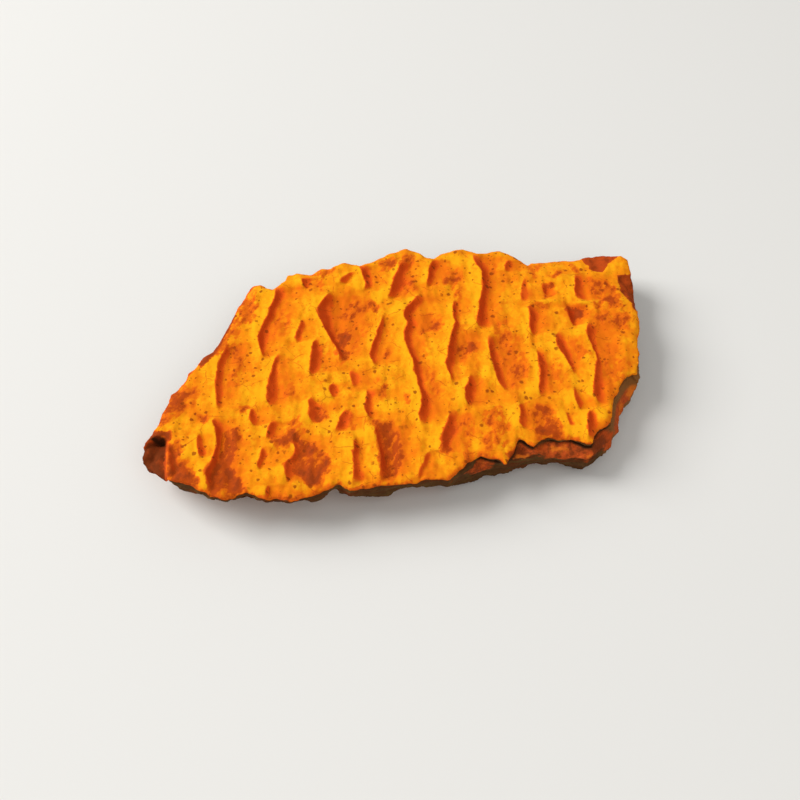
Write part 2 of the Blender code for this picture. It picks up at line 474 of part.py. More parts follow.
def limonite_slab(group):
    """The whole specimen: two sheets of one stone, fused, shaped and thinned to its facets."""
    upper_outline = SHARED_BACK + UPPER_BREAK + SHARED_FRONT
    lower_outline = SHARED_BACK + LOWER_BREAK + SHARED_FRONT
    seam_outline = SHARED_BACK + shrink(UPPER_BREAK, CRACK_DEPTH) + SHARED_FRONT
    slab = stack("limonite_slab", group, [(lower_outline, 0, BLOCK_LEDGE),
                                          (seam_outline, BLOCK_LEDGE - SEAM_LAP, BLOCK_SEAM + SEAM_LAP),
                                          (upper_outline, BLOCK_SEAM, BLOCK_TOP)])
    remesh = slab.modifiers.new("even", "REMESH")
    remesh.mode = "VOXEL"
    remesh.voxel_size = VOXEL * MM
    bake_modifiers(slab)
    shape_block(slab.data, upper_outline, lower_outline)

    thin = slab.modifiers.new("thin", "DECIMATE")
    triangles = sum(len(face.vertices) - 2 for face in slab.data.polygons)
    thin.ratio = TRIANGLES / triangles
    bake_modifiers(slab)
    settle(slab.data)
    slab.data.materials.append(limonite_material())
    return slab


def main():
    clear_scene()
    group = bpy.data.collections.new("limonite_specimen")
    bpy.context.scene.collection.children.link(group)
    limonite_slab(group)


main()
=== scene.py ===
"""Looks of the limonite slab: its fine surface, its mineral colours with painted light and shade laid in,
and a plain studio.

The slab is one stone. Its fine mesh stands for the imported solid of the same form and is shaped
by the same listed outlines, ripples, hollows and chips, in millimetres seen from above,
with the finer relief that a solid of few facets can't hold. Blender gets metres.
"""

import logging
from dataclasses import dataclass, field
from enum import Enum
from typing import Optional, Sequence, Union

import bmesh
import bpy
import numpy as np
from mathutils import Matrix, Vector, noise


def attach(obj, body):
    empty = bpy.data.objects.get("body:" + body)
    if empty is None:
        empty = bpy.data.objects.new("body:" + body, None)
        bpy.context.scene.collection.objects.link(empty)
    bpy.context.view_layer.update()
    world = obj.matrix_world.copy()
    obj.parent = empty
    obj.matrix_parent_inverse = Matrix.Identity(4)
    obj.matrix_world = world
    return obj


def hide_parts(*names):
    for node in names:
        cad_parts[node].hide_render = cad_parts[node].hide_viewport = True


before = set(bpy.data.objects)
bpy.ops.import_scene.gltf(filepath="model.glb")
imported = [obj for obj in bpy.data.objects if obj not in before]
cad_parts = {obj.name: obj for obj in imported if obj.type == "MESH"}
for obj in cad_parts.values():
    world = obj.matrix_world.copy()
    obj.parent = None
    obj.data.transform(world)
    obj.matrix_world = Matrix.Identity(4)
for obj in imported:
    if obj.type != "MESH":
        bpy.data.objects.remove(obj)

LOG = logging.getLogger("limonite_slab")
MM = 0.001
STEPS_PER_MM = 10
SLAB_NODE = "limonite_slab"
STONE_NAME = "limonite_stone"

Array = np.ndarray
Point = tuple[float, float]
Outline = list[Point]
Color = tuple[float, float, float, float]


class Layer(Enum):
    """Values kept on the slab's points, which its finish reads."""

    RELIEF = "relief"
    FACE = "face"
    STAIN = "stain"
    BRIGHT = "bright"
    BROKEN = "broken"
    CHIP = "chip"
    SHELF = "shelf"
    # painted shade: near-black in the open seam and in the tip pit's crescent
    SHADE = "shade"
    UNDER = "under"


def ease(value: Array) -> Array:
    """Ease from 0 to 1."""
    t = np.clip(value, 0.0, 1.0)
    return t * t * (3.0 - 2.0 * t)


def rows(width: int, numbers: Sequence[float]) -> list[tuple[float, ...]]:
    """Rows of places in mm.

    Args:
        width: how many numbers a row has.
        numbers: the rows one after another, in tenths of a millimetre.

    Returns:
        One tuple for each row.
    """
    places = [number / STEPS_PER_MM for number in numbers]
    return [tuple(places[start:start + width]) for start in range(0, len(places), width)]


def outline_gap(x: Array, y: Array, outline: Outline) -> Array:
    """Distance from each point to an outline in mm, positive inside it."""
    nearest = np.full(x.shape, np.inf)
    inside = np.zeros(x.shape, dtype=bool)
    for (ax, ay), (bx, by) in zip(outline, outline[1:] + outline[:1]):
        dx, dy = bx - ax, by - ay
        along = np.clip(((x - ax) * dx + (y - ay) * dy) / (dx * dx + dy * dy), 0, 1)
        nearest = np.minimum(nearest, np.hypot(x - ax - along * dx, y - ay - along * dy))
        if ay != by:
            inside ^= ((ay > y) != (by > y)) & (x < ax + (y - ay) * dx / dy)
    return np.where(inside, nearest, -nearest)


@dataclass(frozen=True)
class Fade:
    """A soft step from 0 to 1 that begins at a value; a negative width makes it end there."""

    start: float
    width: float

    def __call__(self, value: Array) -> Array:
        """How far the step has come at each value."""
        return ease((value - self.start) / self.width)


@dataclass(frozen=True)
class Grain:
    """One layer of roughness: its strength and the width of its lumps, in mm, and its pattern.

    Octaves is the number of finer layers in it, seed picks another pattern, and stretch says how
    much longer the lumps are along each axis.
    """

    strength: float
    size: float
    octaves: int
    seed: float
    stretch: Sequence[float] = (1, 1, 1)
    smoothness: float = 0.9
    refinement: float = 2.0

    def pattern(self, x: Array, y: Array, z: Optional[Array] = None) -> Array:
        """Fractal noise around 0 at places in mm, on the plane z = 0 unless z is given."""
        sx, sy, sz = (1 / (self.size * share) for share in self.stretch)
        places = zip(x, y, np.zeros_like(x) if z is None else z)
        return np.array([
            noise.fractal(Vector((a * sx + self.seed, b * sy, c * sz)), self.smoothness,
                          self.refinement, self.octaves)
            for a, b, c in places])

    def value(self, x: Array, y: Array, z: Optional[Array] = None) -> Array:
        """Relief of the layer in mm."""
        return self.strength * self.pattern(x, y, z)


SWAY = [Grain(0.25, 3.0, 2, 7), Grain(0.10, 0.9, 2, 71)]
SWELL = Grain(0.35, 16, 2, 3)
TOP_GRAIN = [Grain(0.30, 2.6, 2, 11, (0.7, 1.7, 1)), Grain(0.07, 0.9, 3, 13, (0.9, 1.1, 1))]
SHELF_GRAIN = [Grain(0.2, 2.2, 3, 31), Grain(0.08, 0.8, 3, 33)]
UNDERCUT = Grain(0.5, 11, 2, 29)
UNDERSIDE_LUMPS = Grain(1.5, 8, 3, 23)
UNDERSIDE_GRAIN = Grain(0.12, 1.6, 3, 61)
WALL_GRAIN = [Grain(0.45, 1.0, 1, 41, (9, 9, 0.9)), Grain(0.4, 3.0, 2, 43),
              Grain(0.16, 0.5, 2, 45, (6, 6, 0.7)), Grain(0.12, 0.9, 3, 47)]
SPLINTERS = Grain(1.1, 1.5, 4, 49, (1.2, 1.2, 0.7))
BREAK_EDGE = Grain(1, 1.4, 3, 51)
STAIN_EDGE = [Grain(0.35, 1.3, 3, 81), Grain(0.35, 1.3, 3, 83)]


@dataclass(frozen=True)
class Ripple:
    """A weathered ripple: a crest, its steep face to the right, and the trough beyond.

    Each edge row is a place along Y with the X of the face's crest and of its foot, from the
    back to the front. Lengths are in mm; the tint is how much the face's colour shows, a red that
    is partly the face's own and partly painted shade.
    """

    drop: float
    edges: Sequence[tuple[float, float, float]]
    step: float = 0.1
    rounding_steps: int = 6
    end_share: float = 0.2
    end_limit: float = 1.8
    least_width: float = 0.3
    windward: float = 2.3
    lee: float = 2.4
    crest_share: float = 0.46
    lip: float = 0.16
    lip_length: float = 0.6
    face_curve: float = 1.7
    narrow_drop: float = 0.6
    wide_drop: float = 0.4
    foot_blend: float = 0.2
    foot_spread: float = 0.4
    tint_fade: float = 1.5
    tint_reach: float = 0.1
    tint_start: Fade = Fade(-0.1, 0.3)
    tint_floor: float = 0.5
    tint_gain: float = 0.7
    tint_limit: float = 1.15

    def smooth(self, line_y: Array, column: int) -> Array:
        """One edge's X along the ripple, with its corners rounded."""
        ordered = np.array(self.edges[::-1], dtype=float)
        window = np.hanning(2 * self.rounding_steps + 1)
        edge = np.interp(line_y, ordered[:, 0], ordered[:, column])
        return np.convolve(np.pad(edge, self.rounding_steps, mode="edge"), window / window.sum(), "valid")

    def height(self, x: Array, y: Array) -> tuple[Array, Array]:
        """Height of the ripple in mm, and how much each point lies on its steep face."""
        back, front = self.edges[0][0], self.edges[-1][0]
        line_y = np.arange(front, back + self.step, self.step)
        crest_x, foot_x = self.smooth(line_y, 1), self.smooth(line_y, 2)
        slant = np.sqrt(1 + np.gradient((crest_x + foot_x) / 2, self.step) ** 2)
        width_line = np.maximum(foot_x - crest_x, self.least_width) / slant
        slant, width = np.interp(y, line_y, slant), np.interp(y, line_y, width_line)
        past_crest = (x - np.interp(y, line_y, crest_x)) / slant
        past_foot = past_crest - width
        fade = min(self.end_share * (back - front), self.end_limit)
        ends = ease((y - front) / fade) * ease((back - y) / fade)
        crest = (self.crest_share - self.lip) * np.exp(np.minimum(past_crest, 0) / self.windward)
        crest += self.lip * np.exp(np.minimum(past_crest, 0) / self.lip_length)
        trough = (self.crest_share - 1) * np.exp(-np.maximum(past_foot, 0) / self.lee)
        face = 1 - (1 - np.clip(past_crest / width, 0, 1)) ** self.face_curve
        drop = self.drop * ends * (self.narrow_drop + self.wide_drop * width / width_line.max())
        blend = self.foot_blend + self.foot_spread * width
        tint_fade = self.tint_fade * fade
        tint = ease((y - front + self.tint_reach) / tint_fade)
        tint = tint * ease((back - y + self.tint_reach) / tint_fade)
        tint = tint * self.tint_start(past_crest) * ease((blend - past_foot) / (2 * blend))
        tint = tint * min(self.tint_floor + self.tint_gain * self.drop, self.tint_limit)
        return drop * (crest * (1 - face) + trough * face), tint


@dataclass(frozen=True)
class Bowl:
    """A soft round patch: a hollow of the given depth, a lump where that is negative, or a tint."""

    x: float
    y: float
    half_x: float
    half_y: float
    depth: float

    def value(self, x: Array, y: Array) -> Array:
        """Depth in mm, or strength, at each point."""
        across, along = (x - self.x) / self.half_x, (y - self.y) / self.half_y
        return self.depth * np.exp(-across ** 2 - along ** 2)


@dataclass(frozen=True)
class Patch:
    """A stained patch of the surface with a soft edge."""

    strength: float
    softness: float
    outline: Outline

    def value(self, x: Array, y: Array) -> Array:
        """Strength of the stain at each point."""
        return self.strength * ease(0.5 + outline_gap(x, y, self.outline) / self.softness)


@dataclass(frozen=True)
class Chip:
    """A broken corner or edge, which falls away past straight break lines.

    It falls by so many mm in each mm, down to a limit. The tint is how much its colour shows,
    and the break lines wander by so many mm.
    """

    fall: float
    limit: float
    tint: float
    wander: float
    lines: Sequence[tuple[Point, Point]]

    def reach(self, x: Array, y: Array) -> Array:
        """Distance in mm inside all of the ragged break lines, negative outside them."""
        reach = np.full(x.shape, self.limit / self.fall)
        for (ax, ay), (bx, by) in self.lines:
            dx, dy = bx - ax, by - ay
            reach = np.minimum(reach, ((y - ay) * dx - (x - ax) * dy) / np.hypot(dx, dy))
        return reach + self.wander * BREAK_EDGE.value(x, y)


# Outlines seen from above, as X and Y by corners.
SHARED_BACK: Outline = rows(2, [
    -372, -97, -368, -79, -353, -48, -333, -16, -316, 11, -297, 32, -286, 52, -274, 81, -255, 126,
    -243, 152, -234, 163, -224, 164, -204, 153, -185, 171, -179, 184, -166, 188, -139, 184, -125, 194,
    -109, 195, -85, 209, -62, 201, -41, 208, -11, 226, 20, 237, 35, 231, 50, 216, 62, 214, 77, 224,
    115, 234, 137, 221, 172, 226, 190, 220, 219, 195, 226, 200, 310, 202, 328, 215, 350, 219, 381, 209,
    390, 199, 389, 165, 392, 150, 384, 105, 379, 65, 368, 15, 364, -5
])
SHARED_FRONT: Outline = rows(2, [
    44, -209, 20, -210, -40, -215, -100, -221, -115, -212, -135, -217, -155, -226, -185, -231,
    -203, -226, -220, -231, -245, -220, -280, -228, -300, -218, -320, -205, -354, -191, -373, -173,
    -389, -160, -395, -149, -391, -135, -386, -123, -379, -114
])
UPPER_BREAK: Outline = rows(2, [
    356, -36, 346, -36, 332, -48, 318, -68, 310, -78, 304, -100, 297, -123, 278, -133, 268, -145,
    262, -160, 253, -160, 233, -148, 195, -147, 185, -150, 173, -160, 160, -149, 152, -147, 142, -172,
    127, -190, 120, -183, 92, -172, 75, -183
])
LOWER_BREAK: Outline = rows(2, [
    363, -24, 358, -44, 348, -58, 330, -73, 320, -93, 312, -113, 303, -134, 295, -147, 278, -159,
    267, -170, 252, -178, 242, -174, 210, -168, 180, -169, 155, -173, 127, -182, 100, -182, 75, -191,
    56, -201
])

# Each ripple: the drop of its steep face in mm, then by rows Y, the X of the crest and of the foot.
RIPPLES: list[Ripple] = [Ripple(drop, rows(3, edges)) for drop, *edges in [
    (0.7, 51, -277, -272, 40, -276, -269, 28, -278, -270, 14, -285, -276, 2, -289, -280,
     -20, -291, -282, -50, -291, -282, -70, -289, -282, -83, -285, -282),
    (1.0, 164, -194, -184, 152, -199, -183, 138, -200, -187, 115, -207, -196, 93, -214, -204,
     74, -222, -211, 54, -227, -213, 28, -223, -217, 11, -220, -218),
    (0.95, 26, -195, -192, 18, -198, -191, 6, -202, -196, -20, -210, -200, -48, -215, -200,
     -64, -214, -203, -82, -209, -207),
    (0.95, 52, -138, -134, 36, -143, -133, 24, -145, -131, 8, -148, -133, -10, -150, -137,
     -28, -151, -146),
    (0.6, 91, -159, -156, 78, -161, -153, 64, -165, -157, 50, -171, -161, 38, -169, -166),
    (0.7, 174, -155, -142, 164, -156, -143, 156, -153, -146, 151, -150, -148),
    (1.3, 146, -112, -109, 132, -120, -106, 116, -129, -111, 102, -135, -113, 88, -132, -112,
     68, -124, -110, 52, -119, -106, 34, -111, -98, 16, -105, -96, -2, -102, -98),
    (0.7, -35, -117, -115, -48, -123, -108, -58, -120, -112, -66, -118, -116),
    (0.6, -12, -88, -84, -22, -88, -76, -34, -89, -78, -48, -85, -82),
    (0.7, -48, -67, -59, -60, -65, -54, -68, -67, -60, -84, -72, -62, -96, -70, -61, -109, -63, -60),
    (0.75, -60, -149, -146, -72, -153, -141, -84, -153, -136, -96, -154, -139, -112, -150, -144),
    (0.7, -85, -100, -94, -100, -108, -93, -114, -113, -98, -128, -118, -110),
    (0.75, -133, -85, -82, -150, -91, -83, -168, -95, -86, -186, -93, -84, -206, -94, -82,
     -220, -96, -86),
    (1.1, -109, -55, -49, -130, -59, -49, -150, -55, -47, -170, -53, -43, -190, -55, -42, -213, -56, -48),
    (1.05, 138, 35, 43, 122, 23, 37, 108, 12, 24, 94, 2, 15, 86, 2, 19, 74, 8, 20, 58, 0, 13, 40, -2, 9,
     24, 2, 12, 0, 9, 19, -20, 9, 20, -50, 12, 21, -68, 16, 28, -86, 15, 26, -104, 6, 20, -116, 8, 18,
     -125, 11, 14),
    (1.05, 214, 12, 26, 196, 5, 21, 178, -2, 12, 160, -9, 12, 146, -14, 2, 132, -19, -10, 120, -24, -19),
    (0.9, 214, 65, 71, 198, 57, 69, 180, 51, 62, 164, 46, 56, 146, 43, 47),
    (1.0, 126, 87, 95, 108, 84, 92, 86, 81, 87, 70, 82, 90, 56, 77, 83, 38, 70, 80, 16, 64, 77,
     -10, 60, 71, -34, 62, 66, -50, 64, 67),
    (1.15, 223, 127, 133, 206, 128, 142, 192, 130, 149, 176, 138, 151, 154, 137, 149, 132, 132, 143,
     112, 127, 140, 92, 122, 136, 72, 118, 134, 56, 121, 128),
    (0.9, 49, 130, 140, 30, 131, 141, 0, 131, 143, -24, 131, 145, -50, 137, 147, -70, 147, 150),
    (0.9, -27, 94, 96, -42, 89, 100, -58, 83, 99, -80, 81, 93, -93, 86, 90),
    (0.95, -92, 57, 62, -106, 53, 65, -120, 47, 63, -134, 41, 61, -150, 36, 51, -166, 36, 48,
     -174, 40, 43),
    (0.8, 96, -29, -27, 78, -35, -30, 63, -41, -34, 45, -48, -39, 30, -52, -43, 15, -56, -45,
     0, -54, -46, -15, -51, -48),
    (0.5, -161, 18, 21, -172, 11, 18, -186, 6, 12, -202, -1, 5, -213, -5, -1),
    (0.65, -84, 165, 168, -100, 160, 171, -120, 157, 168, -136, 160, 164),
    (0.9, 22, 207, 209, 6, 204, 214, -14, 203, 216, -32, 203, 215, -52, 197, 209, -70, 194, 204,
     -80, 198, 201),
    (0.95, 109, 212, 216, 98, 204, 218, 80, 204, 217, 60, 199, 212, 40, 201, 205),
    (0.5, 166, 208, 213, 152, 203, 211, 134, 200, 209, 118, 195, 208, 108, 195, 201),
    (0.6, 204, 191, 196, 192, 180, 192, 178, 178, 182),
    (0.9, 172, 294, 299, 162, 294, 306, 148, 291, 302, 130, 285, 300, 116, 286, 303, 107, 294, 299),
    (0.9, 103, 268, 282, 94, 267, 286, 82, 267, 283, 68, 269, 277, 59, 272, 274),
    (0.95, 71, 298, 304, 56, 293, 310, 40, 291, 305, 22, 294, 302, 4, 298, 304, -10, 297, 302,
     -30, 288, 300, -52, 283, 298, -74, 279, 295, -90, 283, 295, -97, 289, 292),
    (0.95, 54, 248, 251, 42, 240, 253, 24, 238, 254, 6, 242, 257, -14, 249, 260, -38, 256, 259),
    (0.65, -59, 252, 254, -74, 249, 256, -88, 248, 260, -103, 251, 254),
    (0.95, -97, 270, 273, -110, 262, 276, -126, 259, 275, -140, 257, 270, -156, 256, 262),
    (0.4, -102, 231, 233, -118, 231, 238, -132, 234, 241),
    (0.65, -118, -314, -310, -136, -316, -308, -152, -314, -302, -163, -312, -306),
    (1.1, -86, -291, -286, -100, -294, -282, -120, -289, -280, -140, -287, -282, -154, -291, -284,
     -170, -296, -286, -186, -301, -290, -204, -299, -287, -220, -296, -288),
    (0.6, -74, -238, -234, -88, -240, -231, -100, -240, -230, -110, -235, -233),
    (0.75, -101, -209, -201, -116, -214, -203, -133, -216, -208),
    (0.65, -143, -223, -220, -156, -226, -217, -172, -228, -221, -186, -229, -227),
    (0.7, -137, -354, -350, -150, -355, -346, -168, -353, -342, -180, -350, -342, -192, -349, -347),
    (0.75, -120, -178, -175, -134, -178, -168, -150, -175, -164, -164, -180, -168, -176, -192, -176,
     -188, -190, -176, -200, -189, -183, -214, -188, -185),
    (0.5, -209, -215, -211, -220, -218, -213, -228, -217, -214),
    (0.35, 153, 238, 247, 144, 234, 247, 132, 235, 243, 124, 239, 243),
    (0.5, 184, -76, -69, 174, -86, -78, 164, -95, -86, 157, -97, -93),
    (0.85, 202, -62, -46, 184, -60, -45, 166, -56, -44, 152, -56, -47, 139, -60, -57),
]]

# Hollows, and lumps where the depth is negative, in mm: X, Y, the two half widths and the depth.
HOLLOWS: list[Bowl] = [Bowl(*row) for row in [
    (-8.3, 8.5, 3.4, 5.0, 0.45), (10.4, 2.6, 2.0, 2.4, 0.3), (-3.4, -15.5, 2.2, 4.8, 0.5),
    (-27.4, -18, 2.4, 4.2, 0.5), (-15.8, -17.5, 3.0, 4.0, 0.35), (24.3, 13.6, 1.1, 1.1, 0.6),
    (27.6, 8.7, 1.5, 1.9, 0.75), (19.5, -11.5, 2.6, 3.0, 0.35), (32.5, 3, 2.2, 6.0, 0.3),
    (16.5, 1, 2.2, 4.5, 0.25), (-30.7, -9.3, 1.1, 0.8, 0.35), (9.5, 17.5, 2.0, 3.0, 0.2),
    (-24.5, 2, 2.4, 5.0, 0.2), (-32, -6, 2.5, 4.0, 0.2), (4.5, 7.5, 2.0, 3.0, 0.2),
    (28.5, -11.2, 1.2, 1.2, -0.5), (24.2, 11.2, 2.6, 0.5, -0.22), (29.4, 10.6, 1.7, 0.45, -0.3),
    (31.3, 9.2, 0.5, 1.0, -0.25), (-13, -6.6, 1.6, 1.2, -0.2), (-3.5, -8.6, 2.2, 1.2, -0.2),
]]
# The pit in the broken tip, the dark crescent of painted shade along its far wall, and the lit ground that
# bounds that painted shade.
TIP_PIT = Bowl(-36.8, -12.6, 1.1, 0.36, 1.0)
TIP_SHADE = Bowl(-37.0, -12.55, 1.5, 0.52, 1.0)
TIP_LIT = Bowl(-37.6, -13.3, 1.6, 0.75, 1.0)

TIP_BREAK: list[tuple[Point, Point]] = [
    ((-35.6, -19.8), (-35.7, -13.4)), ((-35.55, -13.8), (-35.9, -12.5)),
    ((-35.7, -12.4), (-37.3, -12.0)), ((-37, -11.9), (-39.7, -13.6)),
]
TIP_SLOPE = Chip(0.5, 1.6, 1.0, 0.1, TIP_BREAK)
TIP_STEP = Chip(2.4, 0.8, 1.0, 0.1, TIP_BREAK)
CHIPS: list[Chip] = [
    TIP_SLOPE, TIP_STEP,
    Chip(0.22, 0.6, 0.6, 0.4,
         [((31, 20.5), (32.3, 17.4)), ((32.1, 17.1), (34.3, 17)), ((33.9, 16.7), (37.3, 20.4))]),
    Chip(0.4, 0.9, 0.7, 0.5,
         [((36.5, 16.6), (36.2, 12)), ((36.2, 12.6), (38.0, 8.6)), ((39.5, 16.9), (36, 16.3))]),
]

# By X: the height of the broken rim along the front, the level of the shelf's inner edge, and how
# steeply the shelf falls outwards.
FRONT_RIMS: list[Point] = [
    (-38, 0.5), (-36, 0.5), (-35, 0.6), (-34, 1), (-33, 1.6), (-32, 1.4), (-31, 0.8), (-29.5, 0.5),
    (-26.5, 0.5), (-25, 0.9), (-24, 0.95), (-22.3, 0.5), (-21, 0.9), (-20.3, 1.3), (-18, 0.8), (-16, 1.1),
    (-15, 1.7), (-14, 1.5), (-13, 0.8), (-12.2, 0.8), (-11.4, 1.7), (-10, 1.2), (-8, 2.1), (-6, 2.4),
    (-4.5, 2.8), (-3, 1.8), (-2, 1), (0, 1), (1, 2), (3, 1.7), (4.5, 1.9), (5.6, 2.8), (7, 3.7), (9, 3.9),
    (11, 3.2), (14, 3.1), (16, 2.6), (20, 2.2), (21.5, 1.9), (22.5, 2.4), (24.3, 2.9), (25.5, 2.3),
    (26.5, 1.7), (28.5, 2.2), (30, 1.7), (38, 1.7),
]
LEDGE_LEVELS: list[Point] = [(5, 5.5), (20, 5.55), (23, 5.2), (25.5, 4.9), (28, 5.1), (31, 5.2), (38, 5.1)]
LEDGE_FALLS: list[Point] = [(5, 0.42), (27, 0.42), (31, 1.2), (38, 1.3)]

# Each patch: its strength, the width of its soft edge in mm, then X and Y by corners.
PATCHES: list[Patch] = [Patch(strength, softness, rows(2, spots)) for strength, softness, *spots in [
    (1.0, 0.7, -354, -140, -349, -140, -343, -158, -341, -178, -346, -189, -352, -187, -353, -163),
    (0.3, 2.0, -354, -124, -336, -130, -326, -170, -308, -200, -352, -196),
    (0.6, 1.0, -386, -122, -370, -113, -346, -117, -354, -129, -376, -126),
    (1.1, 0.6, -410, -148, -400, -120, -376, -112, -358, -117, -354, -125, -369, -121, -382, -128,
     -390, -146),
    (0.6, 1.4, -208, -124, -176, -124, -168, -138, -184, -150, -204, -148),
    (0.85, 1.2, -273, -107, -258, -112, -252, -124, -253, -138, -261, -152, -263, -172, -256, -186,
     -250, -202, -245, -216, -270, -222, -275, -212, -286, -222, -296, -216, -301, -186, -294, -164,
     -282, -150, -276, -134),
    (0.3, 1.5, -270, -176, -256, -190, -248, -214, -268, -214, -274, -194),
    (0.8, 1.3, -177, -120, -166, -136, -146, -142, -139, -158, -126, -170, -123, -184, -134, -198,
     -140, -213, -158, -215, -164, -204, -174, -192, -189, -190, -192, -178, -177, -162, -172, -150,
     -177, -138),
    (0.55, 1.3, -173, -187, -156, -188, -140, -194, -138, -204, -154, -212, -166, -204),
    (0.35, 0.9, -159, -143, -144, -144, -142, -158, -154, -160),
    (0.4, 0.4, -359, -196, -354, -196, -354, -132, -359, -132),
    (0.75, 1.5, -57, -110, -34, -114, -24, -128, -17, -154, -18, -174, -25, -192, -36, -204, -55, -212,
     -53, -160),
    (0.8, 0.9, -146, -76, -132, -78, -125, -88, -127, -99, -138, -106, -150, -104),
    (0.5, 1.1, -98, -88, -90, -96, -83, -122, -98, -122, -110, -124, -106, -104),
    (0.55, 1.3, -191, -38, -174, -30, -176, -54, -183, -62, -190, -54),
    (0.65, 1.1, -317, -83, -302, -89, -299, -103, -308, -101, -314, -92),
    (0.75, 1.9, -349, -40, -330, -49, -334, -70, -342, -81, -355, -93, -370, -100, -365, -78),
    (0.35, 1.9, -334, -34, -318, -34, -316, -64, -332, -74),
    (0.6, 1.5, -342, -160, -330, -174, -314, -192, -309, -202, -326, -202, -344, -196),
    (0.3, 2.3, -266, 44, -250, 40, -249, 0, -254, -34, -270, -36, -274, 0),
    (0.4, 1.9, -246, 144, -224, 146, -226, 120, -232, 90, -246, 80, -256, 96, -258, 120),
    (0.35, 1.9, -206, 86, -184, 120, -176, 90, -180, 62, -204, 56),
    (0.5, 1.3, -139, 180, -104, 194, -106, 182, -122, 170, -134, 164),
    (0.45, 1.5, -134, 162, -120, 162, -126, 144),
    (0.45, 1.9, -96, 116, -88, 124, -74, 132, -52, 125, -38, 116, -29, 106, -44, 101, -68, 100, -86, 86,
     -94, 100),
    (0.3, 2.7, -110, 100, -70, 100, -54, 70, -68, 36, -86, 8, -100, 10, -106, 50),
    (0.7, 1.5, -116, 58, -89, 62, -84, 50, -91, 28, -95, 2, -102, -2, -106, 24),
    (0.5, 1.3, -37, 14, -26, 23, -20, 18, -26, 7, -34, 5),
    (0.6, 1.5, -32, 184, -26, 202, -10, 212, 5, 213, 0, 198, -14, 188),
    (0.55, 1.5, 4, 200, 20, 222, 30, 216, 28, 196, 14, 186),
    (0.4, 1.9, 4, 170, 26, 166, 28, 144, 12, 134, -2, 146),
    (0.5, 1.9, 39, 90, 57, 90, 63, 70, 52, 59, 27, 53, 32, 68),
    (0.4, 0.9, 49, 74, 58, 74, 58, 62, 50, 63),
    (0.5, 1.7, 94, 36, 113, 39, 115, 22, 108, 9, 96, 6, 84, -4, 79, 10, 82, 30),
    (0.5, 1.1, 99, 33, 111, 33, 111, 18, 100, 16),
    (0.5, 1.9, 68, 158, 88, 180, 102, 186, 105, 170, 98, 152, 86, 147),
    (0.4, 1.5, 89, 146, 102, 146, 98, 116, 92, 106),
    (0.35, 1.9, 150, 74, 166, 76, 166, 55, 180, 40, 182, 10, 186, -20, 178, -46, 160, -60, 152, -50,
     145, -20, 146, 20, 141, 50),
    (0.3, 1.1, 162, -10, 184, -16, 182, -40, 166, -40),
    (0.55, 1.7, 172, -88, 198, -90, 211, -96, 214, -112, 223, -140, 218, -148, 190, -148, 177, -140,
     180, -116),
    (0.35, 1.1, 182, -130, 200, -124, 218, -128, 220, -144, 184, -144),
    (0.35, 0.9, 196, -94, 210, -96, 209, -108, 196, -108),
    (0.5, 1.1, 99, -136, 108, -140, 109, -164, 102, -170, 99, -156),
    (0.4, 1.9, 65, -99, 82, -104, 90, -120, 86, -139, 66, -140),
    (0.45, 1.3, 66, -156, 83, -152, 80, -176, 70, -176),
    (0.4, 2.3, 102, -104, 134, -94, 140, -126, 132, -160, 114, -170, 110, -134),
    (0.6, 1.5, 339, 80, 361, 81, 364, 63, 356, 49, 343, 51),
    (0.5, 1.5, 334, 115, 350, 115, 349, 92, 336, 94),
    (0.45, 1.5, 311, 108, 325, 106, 330, 86, 340, 70, 336, 54, 314, 50, 312, 76, 319, 88),
    (0.45, 1.7, 304, 26, 322, 24, 334, 14, 328, -2, 308, 0),
    (0.3, 2.3, 302, -10, 344, -4, 348, -28, 326, -50, 310, -72, 300, -60),
    (0.35, 1.5, 264, 32, 284, 26, 288, 4, 272, -10, 262, 10),
    (1.3, 0.9, 269, 102, 285, 98, 296, 92, 287, 80, 280, 72, 274, 63, 269, 80),
    (0.5, 1.1, 286, 97, 300, 93, 297, 80, 283, 75),
    (0.5, 0.9, 216, 108, 246, 108, 246, 100, 222, 99),
    (0.7, 0.8, 246, 164, 260, 167, 272, 175, 274, 171, 264, 162, 250, 160),
    (1.1, 0.8, 237, 148, 255, 150, 255, 142, 245, 140, 242, 132, 237, 135),
    (0.8, 0.7, 253, 134, 255, 129, 246, 120, 235, 119, 236, 123, 246, 125),
    (0.45, 1.5, 220, 187, 244, 196, 238, 184, 230, 176, 227, 163, 222, 166),
    (0.4, 1.5, 159, 202, 168, 200, 162, 178, 154, 180),
    (0.55, 1.1, 292, 192, 299, 190, 302, 170, 294, 170),
    (0.55, 1.9, 310, 160, 340, 154, 360, 134, 360, 94, 334, 106, 314, 126),
    (0.4, 1.9, 216, -10, 238, -20, 236, -50, 216, -56),
    (0.35, 1.9, 24, -10, 42, -26, 46, -60, 30, -80),
    (0.4, 1.3, -48, -34, -34, -44, -34, -68, -48, -64),
    (0.5, 0.9, -9, -60, -1, -62, -3, -82, -9, -78),
    (0.4, 1.7, -168, -96, -156, -120, -168, -136, -190, -128, -182, -104),
    (0.45, 1.1, -252, -76, -242, -74, -246, -90, -254, -90),
    (0.9, 0.9, 46, -125, 58, -122, 65, -120, 63, -135, 56, -142, 52, -155, 50, -167, 43, -170, 37, -168,
     35, -160, 39, -145, 42, -132),
    (0.6, 0.8, -133, 104, -124, 114, -116, 106, -116, 88, -124, 84, -130, 90),
    (1.0, 0.5, 265, -172, 276, -161, 286, -150, 292, -144, 282, -140, 270, -150, 264, -162),
    (0.8, 0.6, 130, -176, 141, -174, 147, -159, 154, -150, 156, -159, 148, -173, 136, -183),
    (1.5, 0.4, -312, 0, -303, 10, -280, 50, -273, 74, -262, 102, -272, 102, -286, 74, -292, 50, -316, 6),
    (0.35, 1.6, -294, 24, -274, 60, -260, 96, -250, 84, -260, 50, -280, 14),
]]

